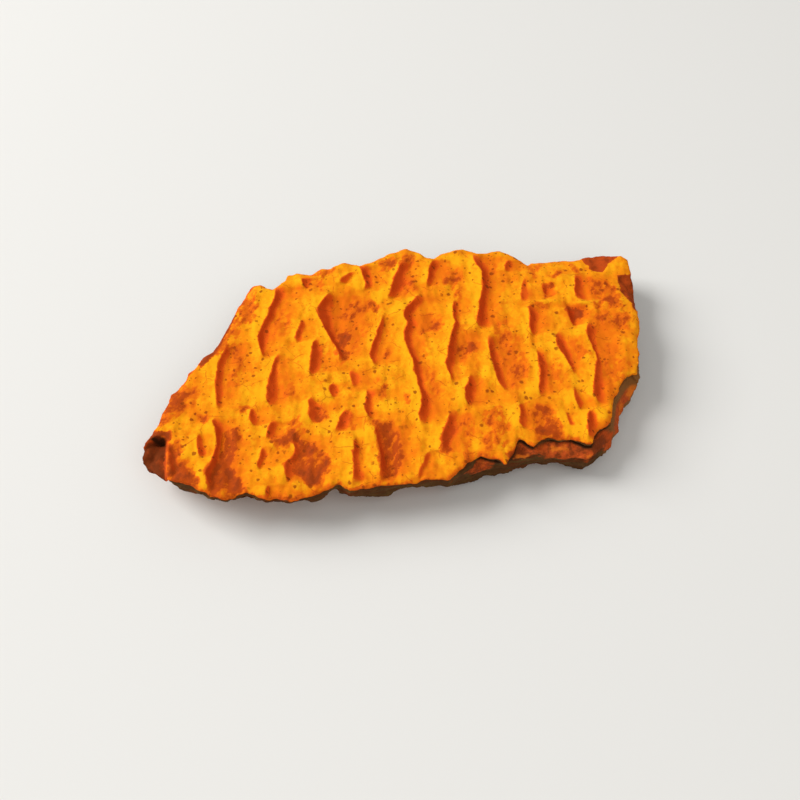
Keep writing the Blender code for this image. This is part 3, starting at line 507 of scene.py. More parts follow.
# Pale spots: X, Y, the two half widths and the strength.
BRIGHTS: list[Bowl] = [Bowl(*row) for row in rows(5, [
    -125, 35, 9, 20, 8, -130, -64, 14, 13, 10, -132, -20, 13, 15, 9, -133, -125, 18, 9, 8,
    -35, -84, 24, 14, 10, 120, -28, 14, 16, 9, 80, -20, 11, 16, 8, 284, -110, 11, 12, 11,
    223, -114, 12, 18, 9, 256, -48, 10, 18, 8, -68, 160, 10, 20, 9, -36, 130, 13, 16, 9,
    94, 206, 24, 16, 8, 119, 155, 9, 45, 7, -326, -150, 16, 22, 7, -245, -50, 16, 26, 6,
    350, 28, 16, 10, 6, 278, 46, 22, 10, 8, 42, 16, 14, 34, 7, -232, 26, 10, 32, 6, 328, 32, 14, 8, 7,
    174, 110, 16, 36, 6, 192, 50, 8, 40, 7, 226, 14, 10, 32, 6, 74, -76, 10, 26, 8, 151, -116, 8, 28, 8,
    254, -130, 8, 26, 7, -98, -55, 16, 14, 6, -184, -118, 11, 16, 6, -236, -130, 10, 34, 5,
    -114, -150, 12, 20, 5, -70, -140, 7, 46, 7, 34, -180, 10, 16, 7, 88, -156, 9, 16, 7,
    130, -170, 8, 16, 6, -306, -178, 8, 16, 7, 276, 125, 10, 34, 6, 252, 120, 14, 5, 5,
    306, 96, 8, 7, 7, 282, -6, 10, 20, 7, -8, 84, 10, 30, 5, -212, 140, 8, 14, 6, -164, 6, 12, 24, 5,
    110, 80, 10, 30, 5, 100, 70, 13, 20, 5, 330, -30, 15, 16, 5, -176, -212, 5, 9, 12,
    -163, -213, 4.5, 8, 12, 156, -175, 11, 6, 15, 215, -161, 18, 5, 7, 326, -86, 7, 14, 5,
    354, -48, 12, 16, 8, -148, -172, 3.5, 13, 6, -170, -176, 3, 11, 6, 240, 153, 13, 3.5, 6,
    259, 140, 4, 9, 6
])]


@dataclass(frozen=True)
class SlabForm:
    """Sizes of the slab, in mm, and the heights that follow from them.

    A fade is a soft step along Y, along the height below the top, or by how steep a wall is.
    """

    top_level: float = 6.6
    crack_height: float = 0.4
    crack_share: float = 0.4
    crack_depth: float = 0.9
    back_rim: float = 3.0
    undercut_reach: float = 5.4
    resting_wear: float = 0.1
    edge_rounding: float = 0.35
    edge_width: float = 0.6
    middle_share: float = 0.45
    middle_limit: float = 0.5
    least_sheet: float = 0.9
    block_ledge: float = 3.0
    block_seam: float = 4.2
    block_top: float = 7.2
    seam_lap: float = 0.6
    shelf_line: tuple[Point, Point] = ((3.5, -21.3), (38.8, -1.0))
    shelf_fade: float = 3.0
    shelf_blend: float = 7.0
    front: Fade = Fade(4, -12)
    wall: Fade = Fade(0.2, 0.5)
    back: Fade = Fade(-2, 8)
    back_calm: float = 0.5
    splintered: Fade = Fade(0.3, 0.6)
    least_push: float = 0.001
    upper: Outline = field(default_factory=lambda: SHARED_BACK + UPPER_BREAK + SHARED_FRONT)
    lower: Outline = field(default_factory=lambda: SHARED_BACK + LOWER_BREAK + SHARED_FRONT)

    def seam(self) -> Outline:
        """Outline at the foot of the open seam, inside the upper sheet's broken edge."""
        points = np.array(UPPER_BREAK)
        ahead = np.roll(points, -1, axis=0) - np.roll(points, 1, axis=0)
        inward = np.stack([ahead[:, 1], -ahead[:, 0]], axis=1)
        inward /= np.linalg.norm(inward, axis=1, keepdims=True)
        return SHARED_BACK + [tuple(p) for p in points + self.crack_depth * inward] + SHARED_FRONT

    @staticmethod
    def ripples(x: Array, y: Array) -> tuple[Array, Array]:
        """Summed height of the ripples in mm, and how much each point lies on a steep face."""
        height, face = np.zeros_like(x), np.zeros_like(x)
        swayed = x + sum(grain.value(x, y) for grain in SWAY)
        for ripple in RIPPLES:
            rise, on_face = ripple.height(swayed, y)
            height += rise
            face = np.maximum(face, on_face)
        return height, face

    def top(self, x: Array, y: Array, upper_gap: Array) -> Array:
        """Height of the rippled top over the resting plane, in mm."""
        height = self.top_level + SWELL.value(x, y)
        height += self.ripples(x, y)[0]
        for hollow in HOLLOWS + [TIP_PIT]:
            height -= hollow.value(x, y)
        for chip in CHIPS:
            height -= chip.fall * np.maximum(chip.reach(x, y), 0)
        for grain in TOP_GRAIN:
            height += grain.value(x, y)
        return height - self.edge_rounding * np.exp(-np.maximum(upper_gap, 0) / self.edge_width)

    def shelf_share(self, x: Array, y: Array) -> Array:
        """1 where the shelf is, fading to 0 behind it and past its two ends."""
        (start_x, start_y), (end_x, end_y) = self.shelf_line
        length = np.hypot(end_x - start_x, end_y - start_y)
        run_x, run_y = (end_x - start_x) / length, (end_y - start_y) / length
        along = (x - start_x) * run_x + (y - start_y) * run_y
        outward = (x - start_x) * run_y - (y - start_y) * run_x
        ends = ease(along / self.shelf_fade) * ease((length - along) / self.shelf_fade)
        return ends * ease(1 + outward / self.shelf_blend)

    @staticmethod
    def shelf(x: Array, y: Array, upper_gap: Array) -> Array:
        """Height of the lower sheet's shelf, which falls away outwards."""
        fall = np.interp(x, *np.array(LEDGE_FALLS).T)
        level = np.interp(x, *np.array(LEDGE_LEVELS).T) - fall * np.maximum(-upper_gap, 0)
        for grain in SHELF_GRAIN:
            level += grain.value(x, y)
        return level

    def underside(self, x: Array, y: Array, lower_gap: Array, rim_bottom: Array) -> Array:
        """Height of the underside: it slopes in from the rim's foot, lumpy and worn flat below."""
        reach = self.undercut_reach * (1 + UNDERCUT.value(x, y))
        inward = np.clip(lower_gap / reach, 0, 1)
        lumps = UNDERSIDE_LUMPS.value(x, y) * ease(inward * 2)
        grain = UNDERSIDE_GRAIN.value(x, y)
        return np.maximum(rim_bottom * (1 - inward) + lumps + grain - self.resting_wear, 0.0)

    def place(self, x: Array, y: Array, z: Array, normal: Array) -> Array:
        """Move the even block's points to the stone's own surface.

        Args:
            x, y, z: places on the block in mm.
            normal: the block's directions at those points.

        Returns:
            The new places, one row for each point, in mm.
        """
        upper_gap, lower_gap = outline_gap(x, y, self.upper), outline_gap(x, y, self.lower)
        top = self.top(x, y, upper_gap)
        on_shelf = self.shelf_share(x, y)
        shelf = self.shelf(x, y, upper_gap)
        front = self.front(y)
        rim = front * np.interp(x, *np.array(FRONT_RIMS).T) + (1 - front) * self.back_rim
        rim_bottom = on_shelf * shelf + (1 - on_shelf) * top - rim
        under = self.underside(x, y, lower_gap, rim_bottom)
        middle = on_shelf * shelf + (1 - on_shelf) * (under + self.middle_share * (top - under))
        limit = np.maximum(top - self.least_sheet, under + self.middle_limit * (top - under))
        middle = np.minimum(middle, limit)
        seam = middle + np.minimum(self.crack_height, self.crack_share * (top - middle))
        ledge, split = self.block_ledge, self.block_seam
        height = np.where(
            z < ledge, under + (middle - under) * z / ledge,
            np.where(z < split, middle + (seam - middle) * (z - ledge) / (split - ledge),
                     seam + (top - seam) * (z - split) / (self.block_top - split)))
        side = 1 - self.wall(np.abs(normal[:, 2]))
        side *= 1 - self.back_calm * self.back(y)
        push = np.zeros_like(x)
        near = side > self.least_push
        spots = x[near], y[near], height[near]
        splinter = (1 - front[near]) * self.splintered(top[near] - height[near])
        push[near] = side[near] * (
            sum(grain.value(*spots) for grain in WALL_GRAIN)
            - SPLINTERS.strength * splinter * np.abs(SPLINTERS.pattern(*spots)))
        return np.stack([x + push * normal[:, 0], y + push * normal[:, 1], height], axis=1)


class Socket:
    """A shader value that Python's operators combine, adding a Math node for each."""

    def __init__(self, tree: "NodeTree", output: bpy.types.NodeSocket) -> None:
        """Wrap an output socket of a tree."""
        self.tree = tree
        self.output = output

    def math(self, operation: str, other: "Value") -> "Socket":
        """One Math node on this value and another."""
        return self.tree.add("ShaderNodeMath", {"operation": operation}, {0: self, 1: other})

    def __add__(self, other: "Value") -> "Socket":
        """Sum."""
        return self.math("ADD", other)

    def __sub__(self, other: "Value") -> "Socket":
        """Difference."""
        return self.math("SUBTRACT", other)

    def __rsub__(self, other: float) -> "Socket":
        """Difference from a plain number."""
        return self.tree.add("ShaderNodeMath", {"operation": "SUBTRACT"}, {0: other, 1: self})

    def __mul__(self, other: "Value") -> "Socket":
        """Product."""
        return self.math("MULTIPLY", other)

    def __truediv__(self, other: "Value") -> "Socket":
        """Quotient."""
        return self.math("DIVIDE", other)

    def clamp(self) -> "Socket":
        """Held between 0 and 1."""
        return self.tree.add("ShaderNodeClamp", {}, {"Value": self})

    def ramp(self, low: float, high: float) -> "Socket":
        """Ease from 0 at low to 1 at high."""
        return self.tree.add("ShaderNodeMapRange", {"interpolation_type": "SMOOTHSTEP"},
                             {"Value": self, "From Min": low, "From Max": high})

    def most(self, other: "Value") -> "Socket":
        """The larger of two values."""
        return self.math("MAXIMUM", other)


Value = Union[Socket, float, int, tuple]


class NodeTree:
    """Builds one material's nodes."""

    def __init__(self, name: str) -> None:
        """Start a material with nothing but its shader and output."""
        self.material = bpy.data.materials.new(name)
        self.material.use_nodes = True
        self.nodes = self.material.node_tree.nodes
        self.shader = self.nodes["Principled BSDF"]

    def add(self, kind: str, settings: dict, inputs: dict, output: Union[int, str] = 0) -> Socket:
        """Add a node.

        Args:
            kind: the node's type.
            settings: its properties, set first.
            inputs: values or sockets by input name or number.
            output: the output that is wanted.

        Returns:
            That output.
        """
        node = self.nodes.new(kind)
        for name, value in settings.items():
            setattr(node, name, value)
        for name, value in inputs.items():
            self.feed(node.inputs[name], value)
        return Socket(self, node.outputs[output])

    def feed(self, target: bpy.types.NodeSocket, value: Value) -> None:
        """Link a socket to an input, or set the input's value."""
        if isinstance(value, Socket):
            self.material.node_tree.links.new(value.output, target)
        else:
            target.default_value = value

    def mix(self, first: Value, second: Value, share: Value) -> Socket:
        """Blend two colours. A colour mix node has its colours at inputs 6 and 7 and output 2."""
        return self.add("ShaderNodeMix", {"data_type": "RGBA"}, {0: share, 6: first, 7: second}, 2)

    def attribute(self, layer: Layer) -> Socket:
        """A value kept on the piece's points."""
        return self.add("ShaderNodeAttribute", {"attribute_name": layer.value}, {}, "Fac")

    def place(self, scale: tuple[float, float, float] = (1, 1, 1)) -> Socket:
        """Object coordinates in mm, stretched."""
        spot = self.add("ShaderNodeTexCoord", {}, {}, "Object")
        return self.add("ShaderNodeVectorMath", {"operation": "MULTIPLY"},
                        {0: spot, 1: tuple(s / MM for s in scale)})

    def grain(self, place: Socket, size: float, detail: float = 3.0, share: float = 0.55) -> Socket:
        """Noise from 0 to 1 with lumps of the given size in mm, and the share of finer ones."""
        return self.add("ShaderNodeTexNoise", {}, {"Vector": place, "Scale": 1 / size,
                                                  "Detail": detail, "Roughness": share})

    def spots(self, place: Socket, size: float, output: str = "Distance") -> Socket:
        """Distance to points scattered as seen from above, in spot sizes, or a random value."""
        return self.add("ShaderNodeTexVoronoi", {"voronoi_dimensions": "2D"},
                        {"Vector": place, "Scale": 1 / size}, output)

    def bump(self, height: Socket, strength: float, distance: float,
             below: Optional[Socket] = None) -> Socket:
        """Fine relief in the shading only, with its depth in mm, on top of another."""
        inputs: dict = {"Height": height, "Strength": strength, "Distance": distance * MM}
        if below is not None:
            inputs["Normal"] = below
        return self.add("ShaderNodeBump", {}, inputs)


class Mottling:
    """Places in mm that the finish shares, one of them slightly bent, and noises around 0."""

    def __init__(self, tree: NodeTree) -> None:
        """Add the nodes to a tree."""
        self.place = tree.place()
        wander = tree.add("ShaderNodeTexNoise", {},
                          {"Vector": self.place, "Scale": 1.6, "Detail": 1.0}, "Color")
        self.bent = tree.add("ShaderNodeVectorMath", {"operation": "MULTIPLY_ADD"},
                             {0: wander, 1: (0.5, 0.5, 0.5), 2: self.place})
        slant = tree.add("ShaderNodeMapping", {"vector_type": "TEXTURE"},
                         {"Vector": self.bent, "Rotation": (0, 0, -0.5), "Scale": (0.8, 1.7, 1)})
        self.cloud = tree.grain(self.place, size=2.4) - 0.5
        self.blotch = tree.grain(self.place, size=1.3, share=0.6) - 0.5
        self.mottle = tree.grain(tree.place((1.1, 0.85, 1.1)), size=0.6, detail=4.0, share=0.6) - 0.5
        self.speck = tree.grain(self.place, size=0.26, detail=2.0) - 0.5
        self.strand = tree.grain(slant, size=1.1, share=0.5) - 0.5


@dataclass(frozen=True)
class OchreFinish:
    """Earthy limonite, partly painted light and shade: ochre crests, red-orange troughs, and brown where
    it is broken.

    Sizes of pores and cracks are in mm; a pore's radius is a share of the gap between pores.
    """

    ochre: Color = (0.89, 0.255, 0.004, 1)
    yellow: Color = (0.97, 0.400, 0.006, 1)
    trough: Color = (0.78, 0.150, 0.004, 1)
    # the lee faces' red and deep red: partly their own iron stain, partly painted shade of faces turned
    # from the light
    face: Color = (0.86, 0.116, 0.007, 1)
    deep_face_and_shade: Color = (0.65, 0.065, 0.005, 1)
    stain: Color = (0.455, 0.063, 0.004, 1)
    dark: Color = (0.32, 0.046, 0.005, 1)
    pore: Color = (0.27, 0.042, 0.003, 1)
    broken: Color = (0.095, 0.040, 0.012, 1)
    olive: Color = (0.15, 0.080, 0.022, 1)
    # painted light: paler brown laid on the broken rim at the right end, which the lamps leave in shade
    painted_light_rim: Color = (0.31, 0.118, 0.028, 1)
    rust: Color = (0.13, 0.030, 0.007, 1)
    chip: Color = (0.50, 0.065, 0.007, 1)
    deep_chip: Color = (0.155, 0.028, 0.005, 1)
    shelf: Color = (0.54, 0.080, 0.012, 1)
    shelf_light: Color = (0.86, 0.200, 0.014, 1)
    # painted shade: near-black laid in the open seam under the upper sheet's edge and in the tip pit's
    # crescent
    seam: Color = (0.045, 0.013, 0.004, 1)
    under: Color = (0.27, 0.095, 0.018, 1)
    ochre_under: Color = (0.44, 0.130, 0.014, 1)
    pore_gap: float = 1.5
    fine_pore_gap: float = 0.8
    pore_radius: float = 0.30
    crack_gap: float = 3.4
    roughness: float = 0.93
    gloss: float = 0.07

    def stained(self, tree: NodeTree, noises: Mottling) -> Socket:
        """Strength of the stains, broken up into streaks and blotches."""
        stain = tree.attribute(Layer.STAIN)
        marks = noises.blotch + noises.mottle * 0.6 + noises.strand * 1.9 + noises.speck * 0.25
        return stain + marks * (stain * 4).clamp()

    def crust(self, tree: NodeTree, noises: Mottling, stain: Socket) -> Socket:
        """Colour of the rippled crust: crests, troughs, stains, pale spots and steep faces, with painted
        highlight on crests and painted shade in troughs and on faces.
        """
        relief, bright = tree.attribute(Layer.RELIEF), tree.attribute(Layer.BRIGHT)
        # painted highlight: crests and raised mottle turn yellower, partly the crust's own ochre
        crest = relief + noises.mottle * 0.5 + noises.speck * 0.35 + noises.cloud * 0.8
        crest = crest.ramp(-0.14, 0.28).most((bright + noises.mottle * 0.6).ramp(0.2, 0.7))
        colour = tree.mix(self.ochre, self.yellow, crest)
        # painted shade: troughs and low mottle turn red-orange, partly the crust's own colour
        low = noises.blotch * 0.8 - noises.cloud * 0.9 - noises.mottle * 0.7 - relief * 1.3
        colour = tree.mix(colour, self.trough, low.ramp(0.0, 0.6) * 0.85)
        colour = tree.mix(colour, self.trough, stain.ramp(0.05, 0.35))
        colour = tree.mix(colour, self.stain, stain.ramp(0.36, 0.8))
        colour = tree.mix(colour, self.dark, stain.ramp(0.88, 1.3))
        colour = tree.mix(colour, self.yellow, (bright + noises.mottle).ramp(0.85, 1.2) * 0.7)
        # the steep faces' red, partly their own stain and partly painted shade
        face = tree.attribute(Layer.FACE) + noises.mottle * 0.5 + noises.blotch * 0.5
        unstained = 1 - stain.ramp(0.4, 1.1) * 0.8
        colour = tree.mix(colour, self.face, face.ramp(0.05, 0.6) * unstained)
        return tree.mix(colour, self.deep_face_and_shade, (face + noises.cloud * 0.9).ramp(0.6, 1.15) * 0.85)

    def pores(self, tree: NodeTree, place: Socket, gap: float) -> Socket:
        """Scattered pores of mixed widths, one for each spot at most."""
        wide = tree.spots(place, gap, "Color") * 1.3 - 0.3
        return 1 - (tree.spots(place, gap) / (wide.most(0.02) * self.pore_radius)).ramp(0.5, 1.1)

    def holes(self, tree: NodeTree, noises: Mottling) -> Socket:
        """Clusters of pores and of finer pores."""
        clusters = tree.grain(noises.place, size=4.5, detail=2.0).ramp(0.38, 0.56)
        fine_clusters = tree.grain(noises.place, size=2.2, detail=2.0).ramp(0.46, 0.64)
        fine = self.pores(tree, noises.bent, self.fine_pore_gap) * fine_clusters
        return (self.pores(tree, noises.bent, self.pore_gap) * clusters).most(fine * 0.8)

    def cracks(self, tree: NodeTree, noises: Mottling) -> Socket:
        """Hair cracks along the borders of cells, in places only."""
        cells = tree.add("ShaderNodeTexVoronoi",
                         {"feature": "DISTANCE_TO_EDGE", "voronoi_dimensions": "2D"},
                         {"Vector": noises.bent, "Scale": 1 / self.crack_gap})
        spread = tree.grain(noises.place, size=3.0, detail=2.0).ramp(0.50, 0.60)
        return (1 - cells.ramp(0.008, 0.032)) * spread

    def shelf_colour(self, tree: NodeTree, noises: Mottling) -> Socket:
        """Colour of the lower sheet's shelf: rusty, with lighter spots."""
        dull = tree.attribute(Layer.STAIN) * 0.6 - noises.blotch * 1.5 + noises.mottle
        lit = tree.attribute(Layer.BRIGHT) * 0.6 + noises.mottle * 0.6 + noises.blotch
        colour = tree.mix(self.shelf, self.rust, dull.ramp(0.05, 0.5) * 0.7)
        return tree.mix(colour, self.shelf_light, lit.ramp(0.05, 0.45) * 0.8)

    def rim_colour(self, tree: NodeTree, noises: Mottling, layers: Socket, broken: Socket) -> Socket:
        """Colour of the broken rim: layered brown, ochre in places at the back, and painted light that
        makes it pale at one end.
        """
        colour = tree.mix(self.broken, self.olive, noises.cloud.ramp(-0.10, 0.12) * 0.6)
        colour = tree.mix(colour, self.rust, layers.ramp(0.48, 0.68))
        at_back = tree.add("ShaderNodeSeparateXYZ", {}, {"Vector": noises.place}, "Y").ramp(-8.0, 2.0)
        ochre = tree.grain(noises.place, size=5.0, detail=4.0).ramp(0.54, 0.68)
        colour = tree.mix(colour, self.ochre_under, ochre * at_back * 0.5)
        # painted light on the rim's right end, carried by the broken value above 1
        return tree.mix(colour, self.painted_light_rim, (broken - 1 + noises.blotch * 0.8).ramp(0.1, 0.8) * 0.8)

    def material(self) -> bpy.types.Material:
        """Build the finish."""
        tree = NodeTree("ochre_limonite")
        noises = Mottling(tree)
        stain = self.stained(tree, noises)
        holes = self.holes(tree, noises)
        layers = tree.grain(tree.place((0.12, 0.12, 1.6)), size=0.6)
        broken, chip = tree.attribute(Layer.BROKEN), tree.attribute(Layer.CHIP)

        colour = self.crust(tree, noises, stain)
        colour = tree.mix(colour, self.pore, holes * 0.8)
        colour = tree.mix(colour, self.stain, self.cracks(tree, noises) * 0.5)
        deep = (chip + noises.mottle * 0.5 + noises.blotch * 0.6).ramp(0.45, 1.05)
        chipped = (chip * 3 + noises.mottle * 0.8).ramp(0.3, 0.8)
        colour = tree.mix(colour, tree.mix(self.chip, self.deep_chip, deep), chipped)
        rim = self.rim_colour(tree, noises, layers, broken)
        colour = tree.mix(colour, rim, (broken + noises.mottle * 0.4).ramp(0.3, 0.7))
        colour = tree.mix(colour, self.shelf_colour(tree, noises), tree.attribute(Layer.SHELF))
        under = tree.mix(self.under, self.ochre_under, noises.cloud.ramp(-0.08, 0.18))
        colour = tree.mix(colour, under, tree.attribute(Layer.UNDER))
        # painted shade in the open seam and in the tip pit's crescent
        colour = tree.mix(colour, self.seam, tree.attribute(Layer.SHADE))
        tree.feed(tree.shader.inputs["Base Color"], colour)

        roughness = self.roughness - stain.clamp() * 0.14 - broken * 0.1 + noises.speck * 0.1
        tree.feed(tree.shader.inputs["Roughness"], roughness.clamp())
        tree.shader.inputs["Specular IOR Level"].default_value = self.gloss

        grain = tree.bump(noises.speck, strength=0.5, distance=0.04)
        grain = tree.bump(noises.mottle, strength=0.2, distance=0.05, below=grain)
        grain = tree.bump(1 - holes, strength=0.2, distance=0.08, below=grain)
        rock = (layers + tree.grain(noises.place, size=1.1, detail=4.0, share=0.6)) * broken.clamp()
        grain = tree.bump(rock, strength=0.8, distance=0.40, below=grain)
        tree.feed(tree.shader.inputs["Normal"], grain)
        return tree.material


@dataclass(frozen=True)
class Zones:
    """Where the parts of the finish begin and end on the stone, in mm.

    Fades called up and down run by how far a point's direction leans up or down, from 0 to 1;
    those called below run down from the top, and those called over run up from the shelf.
    """

    wedge_x: float = 9.4
    wedge_half: float = 2.6
    wedge_lean: float = 0.6
    wedge_rise: float = 1.1
    right_end: Fade = Fade(28.5, 2)
    end_band: float = 0.75
    shelf_out: Fade = Fade(0, 0.4)
    shelf_below: Fade = Fade(0.6, 0.3)
    shelf_up: Fade = Fade(0.2, 0.3)
    shelf_over: Fade = Fade(-0.5, 0.3)
    # The crack and tip shade fades place painted shade in the open seam and in the tip pit's crescent.
    crack_in: Fade = Fade(-0.35, 0.3)
    crack_below: Fade = Fade(0.5, 0.3)
    crack_over: Fade = Fade(-0.35, 0.25)
    crack_top: Fade = Fade(0.75, -0.3)
    tip_break: Fade = Fade(-0.5, 0.3)
    tip_shade: Fade = Fade(0.45, 0.3)
    tip_lit: Fade = Fade(0.42, 0.3)
    tip_below: Fade = Fade(1.0, 0.4)
    under_down: Fade = Fade(0.05, 0.3)
    under_in: Fade = Fade(0.7, 0.8)
    under_below: Fade = Fade(0.8, 0.4)
    # painted shade: steep slopes turned redder, the way shade on them looks
    slope_up: Fade = Fade(0.94, -0.14)
    slope_shade_tint: float = 0.3
    front_margin: Fade = Fade(-13, -4)
    left_margin: Fade = Fade(-16, -8)
    left_tint: float = 1.4
    margin_tint: float = 0.4
    margin_width: float = 0.35
    rim_below: Fade = Fade(0.15, 0.25)
    # painted light on the broken rim at the right end, towards the front
    pale_x: Fade = Fade(27, 4)
    pale_y: Fade = Fade(-0.5, -2)
    pale_tint: float = 0.8
    chip_in: Fade = Fade(0, 0.45)


@dataclass
class LimoniteSlab:
    """The whole stone as one closed, finely shaped mesh."""

    form: SlabForm = field(default_factory=SlabForm)
    finish: OchreFinish = field(default_factory=OchreFinish)
    zones: Zones = field(default_factory=Zones)
    voxel: float = 0.19
    triangles: int = 196000

    @staticmethod
    def plate(block: bmesh.types.BMesh, outline: Outline, bottom: float, top: float) -> None:
        """Add a flat closed plate to the block: an outline, filled and extruded.

        Args:
            block: the mesh that takes the plate.
            outline: the plate's edge in mm.
            bottom, top: its two heights in mm.
        """
        edge = [block.verts.new((x * MM, y * MM, bottom * MM)) for x, y in outline]
        base = block.faces.new(edge)
        raised = bmesh.ops.extrude_face_region(block, geom=[base])["geom"]
        lifted = [item for item in raised if isinstance(item, bmesh.types.BMVert)]
        bmesh.ops.translate(block, verts=lifted, vec=(0, 0, (top - bottom) * MM))
        block.faces.ensure_lookup_table()

    def block(self) -> bpy.types.Object:
        """The stone before it is shaped: three even plates, fused by an even remesh."""
        block = bmesh.new()
        form = self.form
        ledge, split, lap = form.block_ledge, form.block_seam, form.seam_lap
        self.plate(block, form.lower, 0, ledge)
        self.plate(block, form.seam(), ledge - lap, split + lap)
        self.plate(block, form.upper, split, form.block_top)
        bmesh.ops.triangulate(block, faces=block.faces)
        bmesh.ops.recalc_face_normals(block, faces=block.faces)
        mesh = bpy.data.meshes.new(STONE_NAME)
        block.to_mesh(mesh)
        block.free()
        stone = bpy.data.objects.new(STONE_NAME, mesh)
        bpy.context.scene.collection.objects.link(stone)
        remesh = stone.modifiers.new("even", "REMESH")
        remesh.mode = "VOXEL"
        remesh.voxel_size = self.voxel * MM
        self.bake(stone)
        return stone

    @staticmethod
    def bake(stone: bpy.types.Object) -> None:
        """Replace an object's mesh by what its modifiers make of it."""
        graph = bpy.context.evaluated_depsgraph_get()
        baked = bpy.data.meshes.new_from_object(stone.evaluated_get(graph))
        old = stone.data
        stone.modifiers.clear()
        stone.data = baked
        bpy.data.meshes.remove(old)

    @staticmethod
    def points(mesh: bpy.types.Mesh, name: str) -> Array:
        """Places or directions of a mesh's points, one row each."""
        values = np.empty(len(mesh.vertices) * 3)
        mesh.vertices.foreach_get(name, values)
        return values.reshape(-1, 3)

    def build(self) -> bpy.types.Object:
        """Shape the stone and thin its mesh to the allowed number of triangles."""
        stone = self.block()
        spots = self.points(stone.data, "co") / MM
        shaped = self.form.place(*spots.T, self.points(stone.data, "normal"))
        middle = (shaped.min(axis=0) + shaped.max(axis=0)) / 2
        shaped[:, :2] -= middle[:2]
        stone.data.vertices.foreach_set("co", (shaped * MM).ravel())
        stone.data.update()
        count = sum(len(face.vertices) - 2 for face in stone.data.polygons)
        thin = stone.modifiers.new("thin", "DECIMATE")
        thin.ratio = min(1.0, self.triangles / count)
        self.bake(stone)
        stone.data.shade_smooth()
        LOG.info("stone: %d triangles shaped, thinned to %d", count, self.triangles)
        return stone

    def values(self, mesh: bpy.types.Mesh) -> dict[Layer, Array]:
        """What the finish reads at each point of the mesh."""
        form, zones = self.form, self.zones
        x, y, z = (self.points(mesh, "co") / MM).T
        up = self.points(mesh, "normal")[:, 2]
        upper_gap, lower_gap = outline_gap(x, y, form.upper), outline_gap(x, y, form.lower)
        relief, face = form.ripples(x, y)
        for hollow in HOLLOWS:
            relief -= hollow.value(x, y)
        below = form.top(x, y, upper_gap) - z
        over = z - form.shelf(x, y, upper_gap)
        on_shelf, at_end = form.shelf_share(x, y), zones.right_end(x)

        wedge = np.exp(-((x - zones.wedge_x) / zones.wedge_half) ** 2)
        shelf = on_shelf * zones.shelf_out(-upper_gap - zones.end_band * at_end)
        shelf *= zones.shelf_below(below) * zones.shelf_up(up + zones.wedge_lean * wedge)
        shelf *= zones.shelf_over(over + zones.wedge_rise * wedge)
        # painted shade, near-black: in the open seam under the upper sheet's edge, and a crescent under
        # the tip pit's lip
        seam_shade = on_shelf * zones.crack_in(upper_gap) * zones.crack_top(over) * zones.crack_below(below)
        seam_shade *= zones.crack_over(over) * (1 - at_end)
        tip = zones.tip_break(TIP_STEP.reach(x, y))
        crescent = zones.tip_shade(TIP_SHADE.value(x, y)) * (1 - zones.tip_lit(TIP_LIT.value(x, y)))
        crescent *= 1 - zones.tip_below(below)

        ragged_x, ragged_y = (along + grain.value(x, y) for along, grain in zip((x, y), STAIN_EDGE))
        margin = np.maximum(zones.front_margin(y), zones.left_tint * zones.left_margin(x))
        margin *= zones.margin_tint * np.exp(-np.maximum(upper_gap, 0) / zones.margin_width)
        # painted light on the right end of the broken rim
        pale = zones.pale_tint * zones.pale_x(x) * zones.pale_y(y)
        return {
            # the relief also sets painted highlight on crests and painted shade in troughs
            Layer.RELIEF: relief,
            # steep faces' red is partly their own stain and partly painted shade; all steep slopes get a
            # painted shade tint
            Layer.FACE: np.maximum(face, zones.slope_shade_tint * zones.slope_up(up)),
            Layer.STAIN: sum(patch.value(ragged_x, ragged_y) for patch in PATCHES) + margin,
            Layer.BRIGHT: sum(bright.value(x, y) for bright in BRIGHTS),
            Layer.BROKEN: zones.rim_below(below - tip) * (1 + pale),
            Layer.CHIP: np.max([chip.tint * zones.chip_in(chip.reach(x, y)) for chip in CHIPS], axis=0),
            Layer.SHELF: shelf,
            Layer.SHADE: np.maximum(crescent, seam_shade),
            Layer.UNDER: zones.under_down(-up) * zones.under_in(lower_gap) * zones.under_below(below),
        }

    def dress(self, stone: bpy.types.Object) -> None:
        """Keep the finish's values on the stone's points and give it its material."""
        for layer, value in self.values(stone.data).items():
            kept = stone.data.attributes.new(layer.value, "FLOAT", "POINT")
            kept.data.foreach_set("value", value.astype(np.float32))
        stone.data.materials.clear()
        stone.data.materials.append(self.finish.material())
        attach(stone, "root")
        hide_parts(SLAB_NODE)
        LOG.info("stone dressed, %d points", len(stone.data.vertices))


@dataclass(frozen=True)
class Lamp:
    """A square soft light that faces the stone, in metres and watts."""

    name: str
    place: tuple[float, float, float]
    size: float
    power: float

    def hang(self) -> bpy.types.Object:
        """Hang the light."""
        lamp = bpy.data.lights.new(self.name, "AREA")
        lamp.size = self.size
        lamp.energy = self.power
        hung = bpy.data.objects.new(self.name, lamp)
        hung.location = self.place
        hung.rotation_euler = (-Vector(self.place)).to_track_quat("-Z", "Y").to_euler()
        bpy.context.scene.collection.objects.link(hung)
        LOG.info("light %s hung", self.name)
        return hung


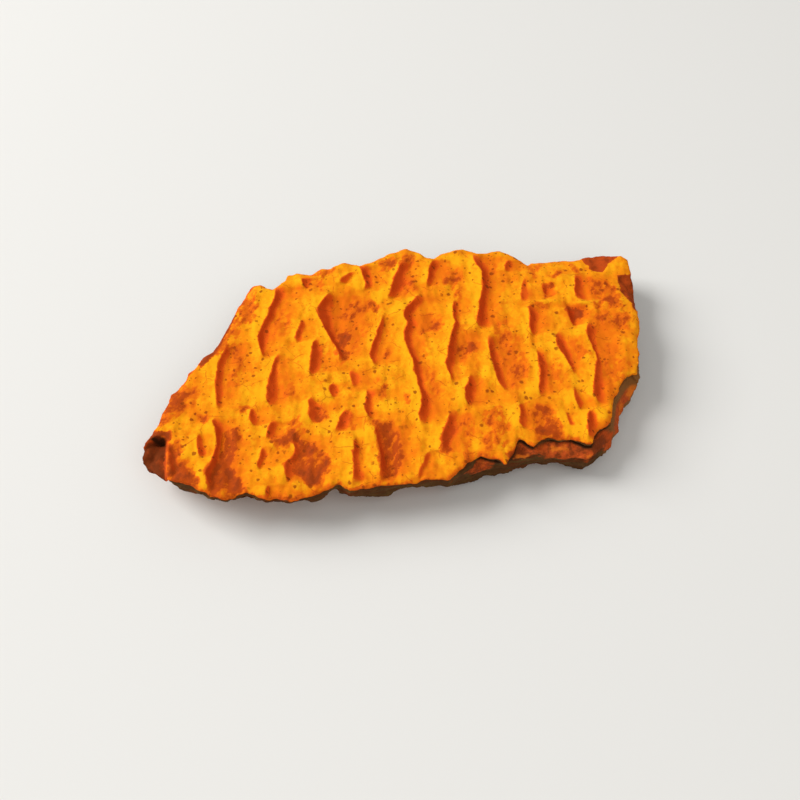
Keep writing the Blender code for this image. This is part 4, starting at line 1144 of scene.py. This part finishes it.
@dataclass(frozen=True)
class Studio:
    """A plain pale floor, in metres, soft lights and even surroundings."""

    floor_size: float = 3.0
    floor_color: Color = (0.80, 0.79, 0.76, 1)
    floor_roughness: float = 0.9
    sky_color: Color = (1, 0.99, 0.97, 1)
    sky_strength: float = 0.40
    lamps: tuple[Lamp, ...] = (
        Lamp("key", (-0.80, 0.32, 0.60), 0.64, 11.4),
        Lamp("fill", (0.10, -0.35, 0.45), 0.5, 0.6),
    )

    def floor(self) -> bpy.types.Object:
        """Lay the floor under the stone."""
        form = bmesh.new()
        bmesh.ops.create_grid(form, x_segments=1, y_segments=1, size=self.floor_size / 2)
        mesh = bpy.data.meshes.new("floor")
        form.to_mesh(mesh)
        form.free()
        ground = bpy.data.objects.new("floor", mesh)
        bpy.context.scene.collection.objects.link(ground)
        tree = NodeTree("pale_floor")
        tree.shader.inputs["Base Color"].default_value = self.floor_color
        tree.shader.inputs["Roughness"].default_value = self.floor_roughness
        mesh.materials.append(tree.material)
        LOG.info("floor laid")
        return ground

    def world(self) -> None:
        """Even pale surroundings."""
        world = bpy.data.worlds.new("studio")
        world.use_nodes = True
        sky = world.node_tree.nodes["Background"]
        sky.inputs["Color"].default_value = self.sky_color
        sky.inputs["Strength"].default_value = self.sky_strength
        bpy.context.scene.world = world

    def build(self) -> None:
        """Set the whole studio up."""
        self.floor()
        for lamp in self.lamps:
            lamp.hang()
        self.world()
        bpy.context.scene.view_settings.view_transform = "Standard"
        LOG.info("studio ready")


@dataclass(frozen=True)
class Camera:
    """The photograph's view: place in mm, directions, and its angle of view."""

    place: tuple[float, float, float] = (-16.16, -95.08, 132.98)
    forward: tuple[float, float, float] = (0.09388, 0.56752, -0.81799)
    upward: tuple[float, float, float] = (0.03513, 0.81922, 0.57241)
    focal_pixels: float = 1033.4
    frame_pixels: float = 800.0
    sensor: float = 36.0
    nearest: float = 0.005
    farthest: float = 10.0

    def build(self) -> bpy.types.Object:
        """Place the camera."""
        data = bpy.data.cameras.new("camera")
        data.sensor_width = self.sensor
        data.lens = self.sensor * self.focal_pixels / self.frame_pixels
        data.clip_start, data.clip_end = self.nearest, self.farthest
        camera = bpy.data.objects.new("camera", data)
        back = -Vector(self.forward).normalized()
        up = Vector(self.upward).normalized()
        right = up.cross(back)
        turn = Matrix((right, up, back)).transposed().to_4x4()
        camera.matrix_world = Matrix.Translation(Vector(self.place) * MM) @ turn
        bpy.context.scene.collection.objects.link(camera)
        bpy.context.scene.camera = camera
        LOG.info("camera placed")
        return camera


def main() -> None:
    """Build the stone, its studio and the camera."""
    logging.basicConfig(level=logging.INFO, format="%(name)s: %(message)s")
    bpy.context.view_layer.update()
    slab = LimoniteSlab()
    slab.dress(slab.build())
    Studio().build()
    Camera().build()
    LOG.info("sizes noted")


if __name__ == "__main__":
    main()
